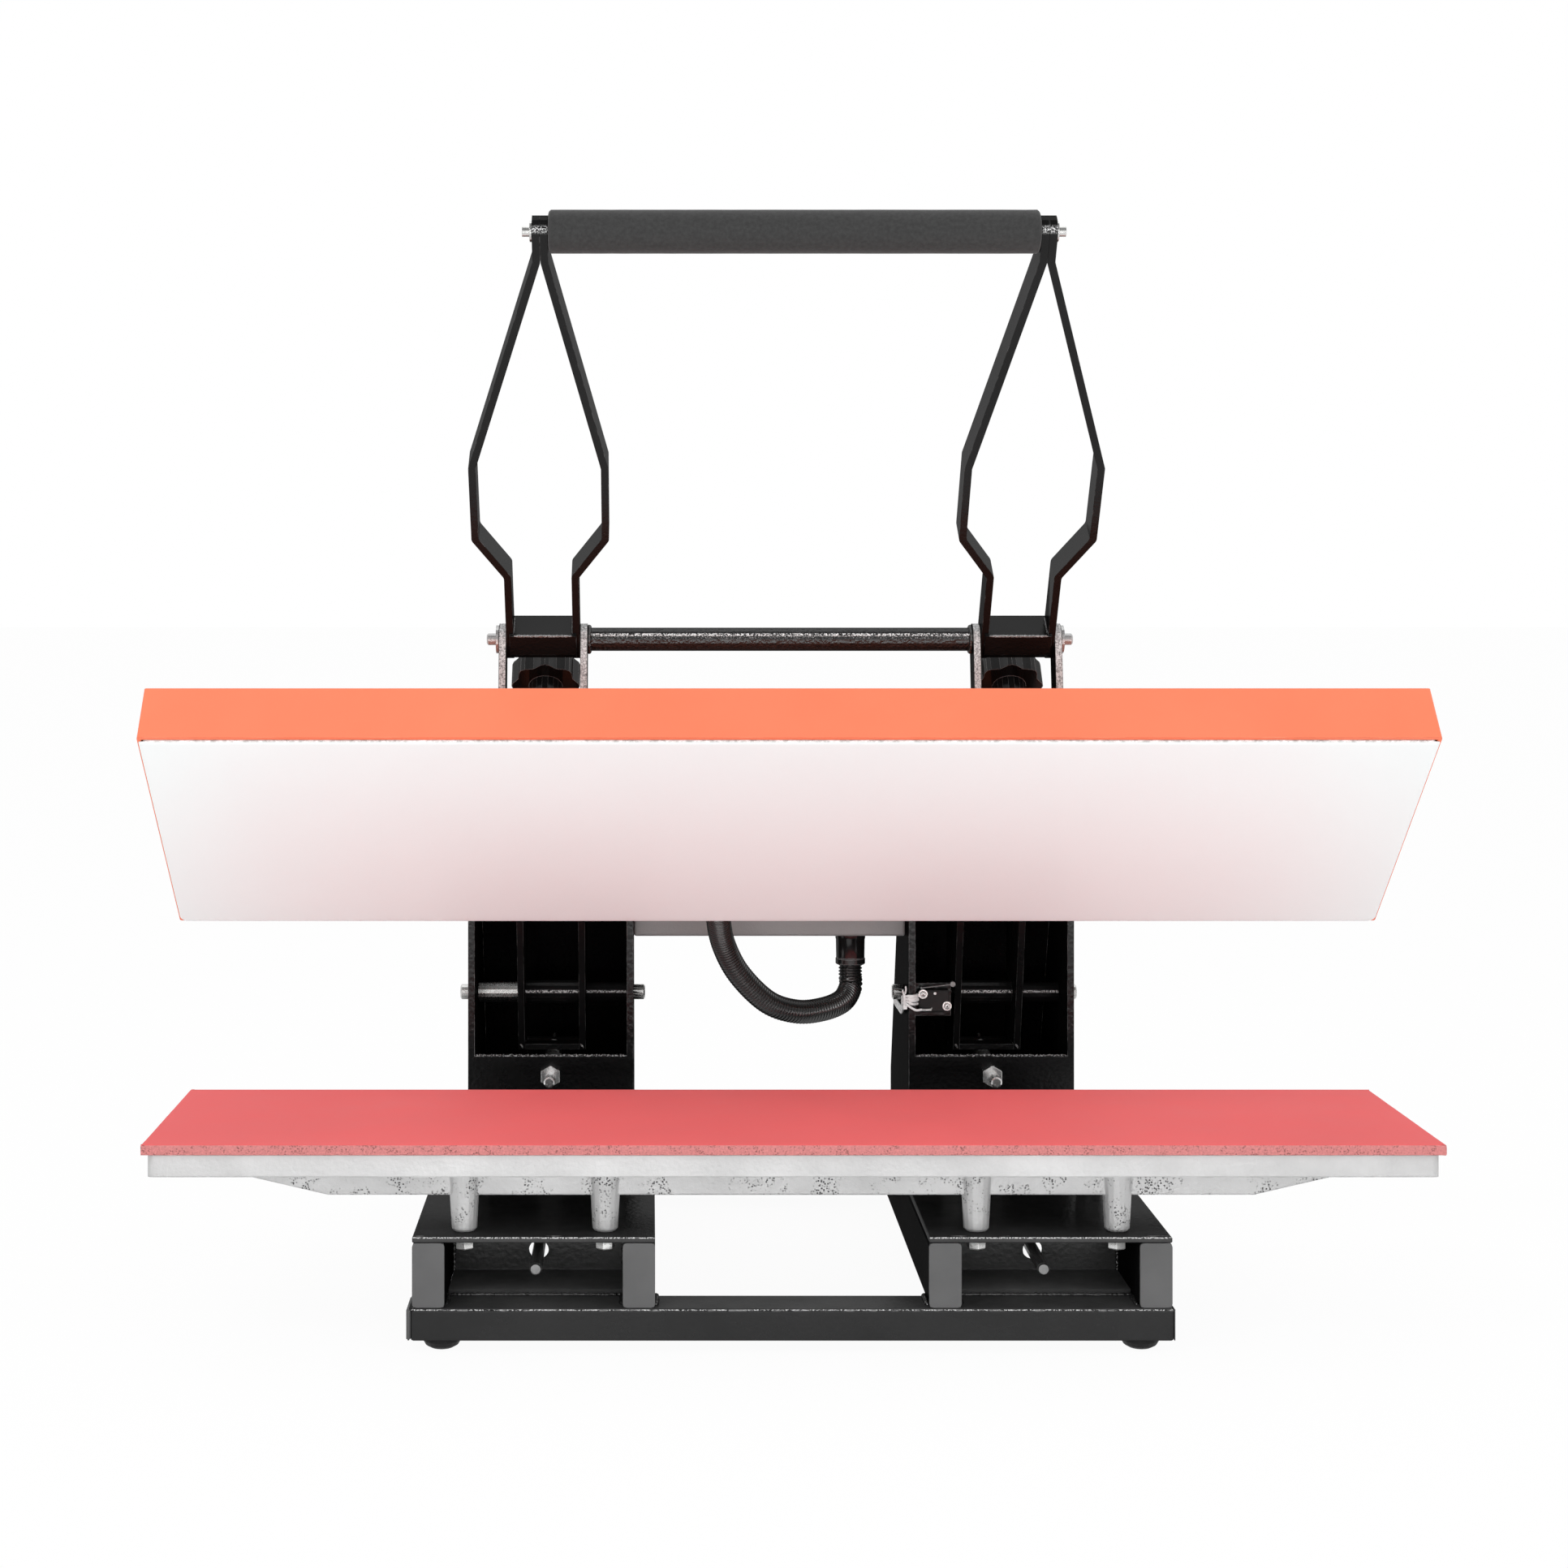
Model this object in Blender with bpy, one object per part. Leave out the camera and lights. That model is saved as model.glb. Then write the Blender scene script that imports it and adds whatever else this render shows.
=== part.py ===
# Lanyard heat press. Metres, +Z up, the operator stands on the -Y side.
# The bench frame used below has its origin at the middle of the pad's front edge, on its top.
# Everything that swings is drawn in the closed position and then opened about the hinge.

import bpy
import bmesh
from math import atan2, cos, hypot, pi, radians, sin
from mathutils import Matrix, Vector

for old_item in list(bpy.data.objects):
    bpy.data.objects.remove(old_item, do_unlink=True)

# Overall layout
seat_gap = 0.0003
running_gap = 0.0003
side_spacing = 0.400
open_angle = radians(41.0)
closed_gap = 0.0008
overrun = 0.010
sides = (("left", -1), ("right", 1))
side_x = side_spacing / 2

# Pad and lower platen
pad_length = 1.000
pad_depth = 0.220
pad_thickness = 0.008
pad_overhang = 0.004
plate_thickness = 0.0172
plate_corner = 0.005
rib_height = 0.0213
rib_width = 0.010
rib_end_inset = 0.043
rib_end_taper = 0.092
leg_spacing_x = 0.110
leg_inset_y = 0.0388
leg_top_radius = 0.0125
leg_foot_radius = 0.0100
leg_height = 0.0499
leg_edge = 0.002

# Side bases
base_front = 0.020
base_width = 0.188
base_length = 0.536
rail_width = 0.025
rail_height = 0.050
rail_wall = 0.002
rail_corner = 0.003
top_plate_thickness = 0.0042
top_plate_edge = 0.0007
plug_flange = 0.0025
plug_depth = 0.012
crossbar_length = 0.590
crossbar_depth = 0.040
crossbar_height = 0.025
crossbar_edge = 0.002
crossbar_wall = 0.0025
foot_hole_radius = 0.0042
front_crossbar_lead = 0.002
rear_crossbar_inset = 0.016
foot_radius = 0.015
foot_height = 0.009
foot_inset = 0.023
foot_rim_share = 0.35
foot_slope_share = 0.75
foot_slope_radius_share = 0.86
foot_tip_radius_share = 0.60
tie_wall_setback = 0.098
tie_wall_thickness = 0.004
tie_floor_lap = 0.0015
tie_hole_radius = 0.008
tie_hole_drop = 0.030
stop_rod_radius = 0.005
stop_rod_reach = 0.061
stop_anchor_setback = 0.278
stop_anchor_height = 0.044

# Uprights
upright_width = 0.150
upright_front = 0.375
upright_top = 0.210
upright_plate = 0.006
upright_web = 0.005
upright_foot_depth = 0.180
upright_shoulder_drop = 0.043
upright_rear_slope = 0.4266
upright_corner = 0.012
front_plate_top = 0.0
front_plate_thickness = 0.006

# Hinge
hinge_y = 0.430
hinge_z = 0.050
hinge_radius = 0.007
hinge_sleeve_radius = 0.009
hinge_overhang = 0.0105
hinge_chamfer = 0.0012

# Arms
arm_width = 0.062
arm_plate = 0.006
arm_bottom = 0.072
arm_top = 0.122
arm_front = 0.078
arm_knee = 0.335
arm_top_rear = 0.405
arm_corner = 0.009
arm_knee_corner = 0.027
arm_rear_corner = 0.036
heel_corner = 0.003
heel_front = 0.410
heel_flat = 0.042
heel_pin_y = 0.468
heel_pin_z = -0.002
heel_pin_radius = 0.004
heel_boss = 0.010
heel_web = 0.005
arm_tube_radius = 0.0105
nut_block_depth = 0.040
nut_block_bottom = 0.082
nut_block_top = 0.114

# Hanger bars, pivot and cross tube
pivot_y = 0.0518
pivot_z = 0.1613
hanger_plate = 0.006
hanger_top_radius = 0.0135
hanger_foot_radius = 0.0125
hanger_foot_y = 0.0985
hanger_foot_z = 0.0845
weld_pad_radius = 0.0095
cross_tube_radius = 0.010
pivot_pin_radius = 0.005
pivot_washer_radius = 0.012
pivot_washer = 0.0025
pivot_pin_overhang = 0.0105

# Upper platen
cover_overhang = 0.015
cover_front_lead = 0.0185
cover_depth = 0.2585
cover_height = 0.0495
cover_lift = 0.0017
cover_wall = 0.0015
cover_return = 0.0017
cover_corner = 0.002
heater_thickness = 0.0232
heater_corner = 0.008
beam_depth = 0.050
beam_thickness = 0.008
beam_end = 0.045
seat_radius = 0.017
seat_height = 0.0095
seat_floor = 0.004

# Pressure screws and star knobs
screw_y = 0.110
screw_radius = 0.008
screw_shoulder_z = 0.131
screw_stud_radius = 0.005
screw_stud_height = 0.036
knob_radius = 0.0295
knob_valley = 0.0255
knob_lobes = 8
knob_bottom = 0.157
knob_height = 0.024
knob_hub_radius = 0.0145
knob_edge = 0.0025

# Handle
handle_lean = radians(34.9)
handle_length = 0.386
bar_thickness = 0.006
bar_width = 0.025
bar_neck = 0.0725
bar_bulge_start = 0.110
bar_bulge_end = 0.179
bar_bulge = 0.0255
bar_meet = 0.366
bar_tail = 0.016
bar_bend = 0.006
bar_gap = 0.0002
pivot_box_depth = 0.030
pivot_box_height = 0.024
pivot_box_rise = 0.002
grip_length = 0.375
grip_radius = 0.0168
foam_thickness = 0.0055
grip_bolt_radius = 0.004
grip_bolt_reach = 0.0077
grip_washer_radius = 0.008
grip_washer = 0.0016

# Spring and its hook bolt
hook_bolt_radius = 0.005
hook_bolt_z = -0.017
hook_bolt_reach = 0.037
hook_nut_flats = 0.017
hook_nut_height = 0.008
hook_eye_setback = 0.026
hook_eye_radius = 0.009
hook_eye_hole = 0.0042
hook_eye_thickness = 0.005
spring_wire = 0.00125
spring_radius = 0.0065
spring_curls = 10
spring_tail = 0.0115
hook_bend = 0.0060
hook_turn_share = 1.15
spring_curl_steps = 8
spring_hook_steps = 6

# Control box
box_front = 0.404
box_bottom = 0.105
box_height = 0.150
box_depth = 0.116
box_edge = 0.002
box_wall = 0.0015
panel_width = 0.190
panel_height = 0.090
panel_thickness = 0.002
panel_lift = 0.040
panel_corner = 0.004
window_width = 0.060
window_height = 0.030
window_depth = 0.001
window_offset_x = -0.045
window_offset_z = 0.012
button_radius = 0.0060
button_proud = 0.0030
button_tail = 0.0030
button_travel = 0.0015
button_count = 3
button_pitch = 0.024
button_first_x = -0.069
button_offset_z = -0.024
rocker_width = 0.019
rocker_height = 0.026
rocker_depth = 0.009
rocker_proud = 0.0035
rocker_dish = 0.0016
rocker_low_share = 1 / 3
rocker_back_share = 0.8
rocker_offset_x = 0.060
pocket_slack = 0.0008
pocket_depth = 0.014
inlet_width = 0.050
inlet_height = 0.028
inlet_flange = 0.0025
inlet_body_width = 0.030
inlet_body_height = 0.022
inlet_body_depth = 0.020
inlet_wall = 0.002
inlet_offset_x = 0.070
inlet_lift = 0.045

# Hose
hose_radius = 0.0108
hose_bore = 0.0080
hose_rib_depth = 0.0010
hose_rib_pitch = 0.0038
sleeve_radius = 0.0138
sleeve_length = 0.028
sleeve_x = 0.0757
sleeve_setback = 0.021
hose_knots = ((-0.0445, 0.324, 0.1085), (-0.0300, 0.341, 0.0795), (-0.0040, 0.359, 0.0520),
              (0.0230, 0.373, 0.0410), (0.0480, 0.389, 0.0405), (0.0670, 0.408, 0.0450))
gland_radius = 0.0138
gland_length = 0.014
gland_collar_share = 0.4
gland_x = -0.050
gland_z = 0.030

# Micro switch on its tab in the right upright
switch_tab_width = 0.034
switch_tab_height = 0.030
switch_tab_thickness = 0.002
switch_tab_y = 0.392
switch_tab_z = 0.0490
switch_width = 0.028
switch_height = 0.0200
switch_depth = 0.010
switch_offset_x = 0.0175
lever_length = 0.031
lever_thickness = 0.0006
lever_depth = 0.004
lever_rise = 0.0035
lever_pivot_inset = 0.003
lever_pivot_radius = 0.0010
roller_radius = 0.0024


def closed_from_open(y, z):
    # A point given in the open position, moved to where it lies when the press is closed
    dy = y - hinge_y
    dz = z - hinge_z
    return (hinge_y + dy * cos(open_angle) - dz * sin(open_angle),
            hinge_z + dy * sin(open_angle) + dz * cos(open_angle))


def open_from_closed(y, z):
    dy = y - hinge_y
    dz = z - hinge_z
    return (hinge_y + dy * cos(open_angle) + dz * sin(open_angle),
            hinge_z - dy * sin(open_angle) + dz * cos(open_angle))


# Sizes that follow from the ones above
plate_length = pad_length - 2 * pad_overhang
plate_depth = pad_depth - 2 * pad_overhang
plate_top = -pad_thickness - seat_gap
plate_bottom = plate_top - plate_thickness
top_plate_top = plate_bottom - leg_height - seat_gap
rail_top = top_plate_top - top_plate_thickness - seat_gap
rail_bottom = rail_top - rail_height
crossbar_top = rail_bottom - seat_gap
crossbar_bottom = crossbar_top - crossbar_height
floor_z = crossbar_bottom - seat_gap - foot_height
base_rear = base_front + base_length
pivot_open_y, pivot_open_z = open_from_closed(pivot_y, pivot_z)
grip_y = pivot_open_y - handle_length * sin(handle_lean)
front_most = grip_y - grip_radius
middle_y = (front_most + base_rear) / 2
heater_bottom = closed_gap
cover_bottom = heater_bottom + cover_lift
cover_top = cover_bottom + cover_height
cover_front = -cover_front_lead
cover_rear = cover_front + cover_depth
cover_half = pad_length / 2 + cover_overhang
beam_top = cover_top + seat_gap + beam_thickness
upright_bottom = top_plate_top + seat_gap
upright_foot_rear = upright_front + upright_foot_depth
box_half = side_x - upright_width / 2 - seat_gap
arm_outer = arm_width / 2
arm_inner = arm_outer - arm_plate
hanger_inner = arm_outer + running_gap
hanger_outer = hanger_inner + hanger_plate

# Bodies: each is an empty on its joint's axis, with the point of the drawing that lies there
body_empty = {}
body_datum = {}


def add_body(name, parent, place, datum, turn=0.0):
    empty = bpy.data.objects.new(name, None)
    bpy.context.collection.objects.link(empty)
    if parent:
        empty.parent = body_empty[parent]
    empty.location = place
    empty.rotation_euler = (turn, 0, 0)
    body_empty[name] = empty
    body_datum[name] = Vector(datum)


hinge_point = (0, hinge_y, hinge_z)
pivot_point = (0, pivot_y, pivot_z)
platen_point = (0, screw_y, cover_top)
add_body("frame_axis", None, (0, -middle_y, -floor_z), (0, 0, 0))
add_body("arm_axis", "frame_axis", hinge_point, hinge_point, -open_angle)
add_body("handle_axis", "arm_axis", Vector(pivot_point) - Vector(hinge_point), (0, 0, 0),
         handle_lean + open_angle)
add_body("platen_axis", "arm_axis", Vector(platen_point) - Vector(hinge_point), platen_point)
for side, sign in sides:
    screw_point = (sign * side_x, screw_y, knob_bottom)
    add_body("knob_axis_" + side, "platen_axis", Vector(screw_point) - Vector(platen_point),
             screw_point)

paints = {}


def paint(name, colour, roughness, metallic=0.0):
    material = bpy.data.materials.new(name)
    material.use_nodes = True
    shader = material.node_tree.nodes["Principled BSDF"]
    shader.inputs["Base Color"].default_value = (*colour, 1)
    shader.inputs["Roughness"].default_value = roughness
    shader.inputs["Metallic"].default_value = metallic
    material.diffuse_color = (*colour, 1)
    paints[name] = material


paint("black_paint", (0.012, 0.012, 0.013), 0.30)
paint("orange_paint", (0.95, 0.25, 0.12), 0.45)
paint("grey_paint", (0.22, 0.22, 0.22), 0.55)
paint("grey_plastic", (0.13, 0.13, 0.13), 0.60)
paint("black_plastic", (0.015, 0.015, 0.016), 0.35)
paint("white_coating", (0.90, 0.90, 0.90), 0.50)
paint("cast_aluminium", (0.80, 0.80, 0.80), 0.45, 0.6)
paint("zinc_steel", (0.70, 0.70, 0.68), 0.30, 1.0)
paint("red_silicone", (0.80, 0.13, 0.14), 0.80)
paint("black_foam", (0.05, 0.05, 0.05), 0.90)
paint("black_rubber", (0.02, 0.02, 0.02), 0.80)
paint("mineral_wool", (0.60, 0.55, 0.40), 0.95)
paint("dark_window", (0.03, 0.01, 0.01), 0.15)


def box(x0, x1, y0, y1, z0, z1):
    shape = bmesh.new()
    bmesh.ops.create_cube(shape, size=1)
    centre = Vector(((x0 + x1) / 2, (y0 + y1) / 2, (z0 + z1) / 2))
    size = Vector((x1 - x0, y1 - y0, z1 - z0))
    shape.transform(Matrix.Translation(centre) @ Matrix.Diagonal((*size, 1)))
    return shape


def prism(outline, axis, start, end):
    # The outline's two numbers are the two other axes, in X, Y, Z order
    placed = {"X": lambda u, v, w: (w, u, v),
              "Y": lambda u, v, w: (u, w, v),
              "Z": lambda u, v, w: (u, v, w)}[axis]
    shape = bmesh.new()
    low = [shape.verts.new(placed(u, v, start)) for u, v in outline]
    high = [shape.verts.new(placed(u, v, end)) for u, v in outline]
    shape.faces.new(low)
    shape.faces.new(high)
    for i in range(len(outline)):
        j = (i + 1) % len(outline)
        shape.faces.new((low[i], low[j], high[j], high[i]))
    bmesh.ops.recalc_face_normals(shape, faces=shape.faces)
    return shape


def turned(profile, axis, centre, segments=18):
    # The profile runs along the axis as (distance, radius); both ends are closed
    shape = bmesh.new()
    rings = []
    for along, radius in profile:
        ring = []
        for i in range(segments):
            angle = 2 * pi * i / segments
            a, b = radius * cos(angle), radius * sin(angle)
            local = {"X": (along, a, b), "Y": (a, along, b), "Z": (a, b, along)}[axis]
            ring.append(shape.verts.new(Vector(centre) + Vector(local)))
        rings.append(ring)
    for ring, following in zip(rings, rings[1:]):
        for i in range(segments):
            j = (i + 1) % segments
            shape.faces.new((ring[i], ring[j], following[j], following[i]))
    shape.faces.new(rings[0])
    shape.faces.new(rings[-1])
    bmesh.ops.recalc_face_normals(shape, faces=shape.faces)
    return shape


def rounded(outline, radius, steps=4):
    # Each corner becomes an arc, or keeps its point where its own radius is zero
    radii = radius if isinstance(radius, (list, tuple)) else [radius] * len(outline)
    result = []
    for i, corner in enumerate(outline):
        corner = Vector(corner)
        if radii[i] <= 0:
            result.append(tuple(corner))
            continue
        before = Vector(outline[i - 1]) - corner
        after = Vector(outline[(i + 1) % len(outline)]) - corner
        half = before.angle(after) / 2
        reach = radii[i] / abs(sin(half) / cos(half)) if half < pi / 2 else 0
        reach = min(reach, before.length / 2, after.length / 2)
        start = corner + before.normalized() * reach
        end = corner + after.normalized() * reach
        for k in range(steps + 1):
            t = k / steps
            point = start * (1 - t) ** 2 + corner * 2 * t * (1 - t) + end * t ** 2
            result.append(tuple(point))
    return result


def capsule(start, start_radius, end, end_radius, steps=8):
    # Two arcs joined by straight sides
    facing = atan2(end[1] - start[1], end[0] - start[0])
    result = []
    for centre, radius, turn in ((start, start_radius, pi / 2), (end, end_radius, -pi / 2)):
        for k in range(steps + 1):
            angle = facing + turn + pi * k / steps
            result.append((centre[0] + radius * cos(angle), centre[1] + radius * sin(angle)))
    return result


def swept(points, radii, sides_round, bore=None):
    # A round tube along points, with one radius for each; a bore leaves it open at both ends
    shape = bmesh.new()
    facing = (points[1] - points[0]).normalized()
    across = facing.orthogonal().normalized()
    outer = []
    inner = []
    for i, point in enumerate(points):
        ahead = points[min(i + 1, len(points) - 1)]
        behind = points[max(i - 1, 0)]
        new_facing = (ahead - behind).normalized()
        across = facing.rotation_difference(new_facing) @ across
        facing = new_facing
        beside = facing.cross(across)
        ring = []
        hole = []
        for k in range(sides_round):
            angle = 2 * pi * (k + 0.5) / sides_round
            outward = across * cos(angle) + beside * sin(angle)
            ring.append(shape.verts.new(point + outward * radii[i]))
            if bore and i in bore[1]:
                hole.append(shape.verts.new(point + outward * bore[0]))
        outer.append(ring)
        if hole:
            inner.append(hole)
    for rings in (outer, inner):
        for ring, following in zip(rings, rings[1:]):
            for k in range(sides_round):
                m = (k + 1) % sides_round
                shape.faces.new((ring[k], ring[m], following[m], following[k]))
    if bore:
        for ring, hole in ((outer[0], inner[0]), (outer[-1], inner[-1])):
            for k in range(sides_round):
                m = (k + 1) % sides_round
                shape.faces.new((ring[k], ring[m], hole[m], hole[k]))
    else:
        shape.faces.new(outer[0])
        shape.faces.new(outer[-1])
    bmesh.ops.recalc_face_normals(shape, faces=shape.faces)
    return shape


def place(name, shape, body, material=None, smooth=False):
    shape.transform(Matrix.Translation(-body_datum[body]))
    mesh = bpy.data.meshes.new(name)
    shape.to_mesh(mesh)
    shape.free()
    if smooth:
        mesh.shade_smooth()
        mesh.set_sharp_from_angle(angle=radians(35))
    item = bpy.data.objects.new(name, mesh)
    bpy.context.collection.objects.link(item)
    item.parent = body_empty[body]
    if material:
        mesh.materials.append(paints[material])
    return item


def combine(item, shape, body, operation):
    tool = place(item.name + "_tool", shape, body)
    tool.hide_render = True
    tool.display_type = "WIRE"
    step = item.modifiers.new(operation.lower(), "BOOLEAN")
    step.operation = operation
    step.solver = "EXACT"
    step.object = tool


def join(item, shape, body):
    combine(item, shape, body, "UNION")


def cut(item, shape, body):
    combine(item, shape, body, "DIFFERENCE")


def soften(item, width, segments=2):
    step = item.modifiers.new("edge", "BEVEL")
    step.width = width
    step.segments = segments
    step.limit_method = "ANGLE"
    step.angle_limit = radians(50)


def build_lower_platen():
    half = plate_length / 2
    front = pad_overhang
    rear = front + plate_depth
    outline = rounded([(-half, front), (half, front), (half, rear), (-half, rear)], plate_corner)
    casting = place("lower_platen", prism(outline, "Z", plate_bottom, plate_top), "frame_axis",
                    "cast_aluminium", smooth=True)
    rib_low = plate_bottom - rib_height
    rib_top_half = half - rib_end_inset
    rib_low_half = rib_top_half - rib_end_taper
    rib_outline = [(-rib_top_half, plate_bottom + plate_thickness / 2),
                   (-rib_top_half, plate_bottom), (-rib_low_half, rib_low),
                   (rib_low_half, rib_low), (rib_top_half, plate_bottom),
                   (rib_top_half, plate_bottom + plate_thickness / 2)]
    leg_rows = (front + leg_inset_y, rear - leg_inset_y)
    for row_y in leg_rows:
        join(casting, prism(rib_outline, "Y", row_y - rib_width / 2, row_y + rib_width / 2),
             "frame_axis")
    leg_columns = [sign * side_x + step * leg_spacing_x / 2 for _, sign in sides
                   for step in (-1, 1)]
    for column_x in leg_columns + [0]:
        join(casting, box(column_x - rib_width / 2, column_x + rib_width / 2, leg_rows[0],
                          leg_rows[1], rib_low, plate_bottom + plate_thickness / 2), "frame_axis")
    for column_x in leg_columns:
        for row_y in leg_rows:
            profile = [(plate_bottom + plate_thickness / 2, leg_top_radius),
                       (plate_bottom, leg_top_radius),
                       (plate_bottom - leg_height + leg_edge, leg_foot_radius),
                       (plate_bottom - leg_height, leg_foot_radius - leg_edge)]
            join(casting, turned(profile, "Z", (column_x, row_y, 0), 16), "frame_axis")
    place("silicone_pad", box(-pad_length / 2, pad_length / 2, 0, pad_depth, -pad_thickness, 0),
          "frame_axis", "red_silicone")


def rail_outline(centre_x, inset):
    half_width = rail_width / 2 - inset
    low = rail_bottom + inset
    high = rail_top - inset
    return rounded([(centre_x - half_width, low), (centre_x + half_width, low),
                    (centre_x + half_width, high), (centre_x - half_width, high)],
                   max(rail_corner - inset, 0), 2)


def build_bases():
    rail_front = base_front + plug_flange
    wall_y = base_front + tie_wall_setback
    for side, sign in sides:
        centre = sign * side_x
        half = base_width / 2
        top = place("top_plate_" + side,
                    box(centre - half, centre + half, base_front, base_rear,
                        top_plate_top - top_plate_thickness, top_plate_top),
                    "frame_axis", "black_paint")
        soften(top, top_plate_edge, 1)
        for place_name, lean in (("outer", sign), ("inner", -sign)):
            rail_x = centre + lean * (half - rail_width / 2)
            rail = place(f"rail_{side}_{place_name}",
                         prism(rail_outline(rail_x, 0), "Y", rail_front, base_rear),
                         "frame_axis", "black_paint", smooth=True)
            cut(rail, prism(rail_outline(rail_x, rail_wall), "Y", rail_front - overrun,
                            base_rear + overrun), "frame_axis")
            plug = place(f"rail_plug_{side}_{place_name}",
                         prism(rail_outline(rail_x, 0), "Y", base_front,
                               rail_front - seat_gap), "frame_axis", "grey_plastic", smooth=True)
            join(plug, prism(rail_outline(rail_x, rail_wall + seat_gap), "Y",
                             base_front + plug_flange / 2, rail_front + plug_depth),
                 "frame_axis")
        inner_half = half - rail_width - seat_gap
        hole_z = rail_top - tie_hole_drop
        tie = place("cross_wall_" + side,
                    box(centre - inner_half, centre + inner_half, wall_y,
                        wall_y + tie_wall_thickness, rail_bottom + tie_floor_lap,
                        rail_top - seat_gap), "frame_axis", "black_paint")
        floor_front = base_front - front_crossbar_lead + crossbar_depth + seat_gap
        join(tie, box(centre - inner_half, centre + inner_half, floor_front,
                      wall_y + tie_wall_thickness, rail_bottom,
                      rail_bottom + tie_wall_thickness), "frame_axis")
        cut(tie, turned([(wall_y - overrun, tie_hole_radius),
                         (wall_y + tie_wall_thickness + overrun, tie_hole_radius)],
                        "Y", (centre, 0, hole_z)), "frame_axis")
        anchor_y = base_front + stop_anchor_setback
        anchor_bottom = rail_top - seat_gap - stop_anchor_height
        anchor = place("stop_rod_" + side,
                       box(centre - inner_half, centre + inner_half, anchor_y,
                           anchor_y + tie_wall_thickness, anchor_bottom, rail_top - seat_gap),
                       "frame_axis", "black_paint", smooth=True)
        rod_front = wall_y - stop_rod_reach
        join(anchor, turned([(rod_front, stop_rod_radius - hinge_chamfer),
                             (rod_front + hinge_chamfer, stop_rod_radius),
                             (anchor_y + tie_wall_thickness / 2, stop_rod_radius)],
                            "Y", (centre, 0, hole_z), 16), "frame_axis")


def build_crossbars():
    front_y = base_front - front_crossbar_lead
    rear_y = base_rear - rear_crossbar_inset - crossbar_depth
    half = crossbar_length / 2
    for name, start_y in (("front", front_y), ("rear", rear_y)):
        end_y = start_y + crossbar_depth
        bar = place(name + "_crossbar",
                    box(-half, half, start_y, end_y, crossbar_bottom, crossbar_top),
                    "frame_axis", "black_paint", smooth=True)
        soften(bar, crossbar_edge)
        wall = crossbar_wall
        cut(bar, box(-half + wall, half - wall, start_y + wall, end_y - wall,
                     crossbar_bottom + wall, crossbar_top - wall), "frame_axis")
        for side, sign in sides:
            foot_x = sign * (half - foot_inset)
            cut(bar, turned([(crossbar_bottom - overrun, foot_hole_radius),
                             (crossbar_bottom + wall + overrun / 2, foot_hole_radius)], "Z",
                            (foot_x, (start_y + end_y) / 2, 0), 12), "frame_axis")
            foot_top = crossbar_bottom - seat_gap
            rim = foot_radius
            profile = [(foot_top, rim), (foot_top - foot_height * foot_rim_share, rim),
                       (foot_top - foot_height * foot_slope_share,
                        rim * foot_slope_radius_share),
                       (foot_top - foot_height, rim * foot_tip_radius_share)]
            place(f"{name}_foot_{side}",
                  turned(profile, "Z", (foot_x, (start_y + end_y) / 2, 0), 20), "frame_axis",
                  "black_rubber", smooth=True)


def upright_outline(inset_rear=0.0):
    shoulder_z = -upright_shoulder_drop
    rise = upright_top - shoulder_z
    rear_top = upright_foot_rear - upright_rear_slope * rise
    return [(upright_front, upright_bottom), (upright_foot_rear - inset_rear, upright_bottom),
            (upright_foot_rear - inset_rear, shoulder_z), (rear_top - inset_rear, upright_top),
            (upright_front, upright_top)]


def build_uprights():
    for side, sign in sides:
        centre = sign * side_x
        half = upright_width / 2
        inner = half - upright_plate
        shell = upright_outline()
        outline = rounded(shell, [0, 0, upright_corner, upright_corner, upright_corner])
        upright = place("upright_" + side, prism(outline, "X", centre - half, centre + half),
                        "frame_axis", "black_paint", smooth=True)
        slant = hypot(1, upright_rear_slope) * upright_web
        hollow = upright_outline(slant)
        plate_back = upright_front + front_plate_thickness
        hollow = [(plate_back, upright_bottom - overrun),
                  (hollow[1][0], upright_bottom - overrun), hollow[2],
                  (hollow[3][0] - upright_rear_slope * overrun, upright_top + overrun),
                  (upright_front - overrun, upright_top + overrun),
                  (upright_front - overrun, front_plate_top), (plate_back, front_plate_top)]
        cut(upright, prism(hollow, "X", centre - inner, centre + inner), "frame_axis")
        bore = hinge_radius + running_gap
        cut(upright, turned([(centre - half - overrun, bore), (centre + half + overrun, bore)],
                            "X", (0, hinge_y, hinge_z)), "frame_axis")
        bolt_bore = hook_bolt_radius + running_gap
        cut(upright, turned([(upright_front - overrun, bolt_bore),
                             (plate_back + overrun, bolt_bore)], "Y",
                            (centre, 0, hook_bolt_z), 16), "frame_axis")
        if side == "right":
            tab_x = centre - inner
            join(upright, box(tab_x - upright_plate / 2, tab_x + switch_tab_width, switch_tab_y,
                              switch_tab_y + switch_tab_thickness,
                              switch_tab_z - switch_tab_height / 2,
                              switch_tab_z + switch_tab_height / 2), "frame_axis")
        end = half + hinge_overhang
        sleeve_out = inner - seat_gap
        sleeve_in = arm_outer + running_gap
        tip = hinge_radius - hinge_chamfer
        profile = [(-end, tip), (-end + hinge_chamfer, hinge_radius),
                   (-sleeve_out, hinge_radius), (-sleeve_out, hinge_sleeve_radius),
                   (-sleeve_in, hinge_sleeve_radius), (-sleeve_in, hinge_radius),
                   (sleeve_in, hinge_radius), (sleeve_in, hinge_sleeve_radius),
                   (sleeve_out, hinge_sleeve_radius), (sleeve_out, hinge_radius),
                   (end - hinge_chamfer, hinge_radius), (end, tip)]
        place("hinge_rod_" + side, turned(profile, "X", (centre, hinge_y, hinge_z), 16),
              "frame_axis", "zinc_steel", smooth=True)


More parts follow.
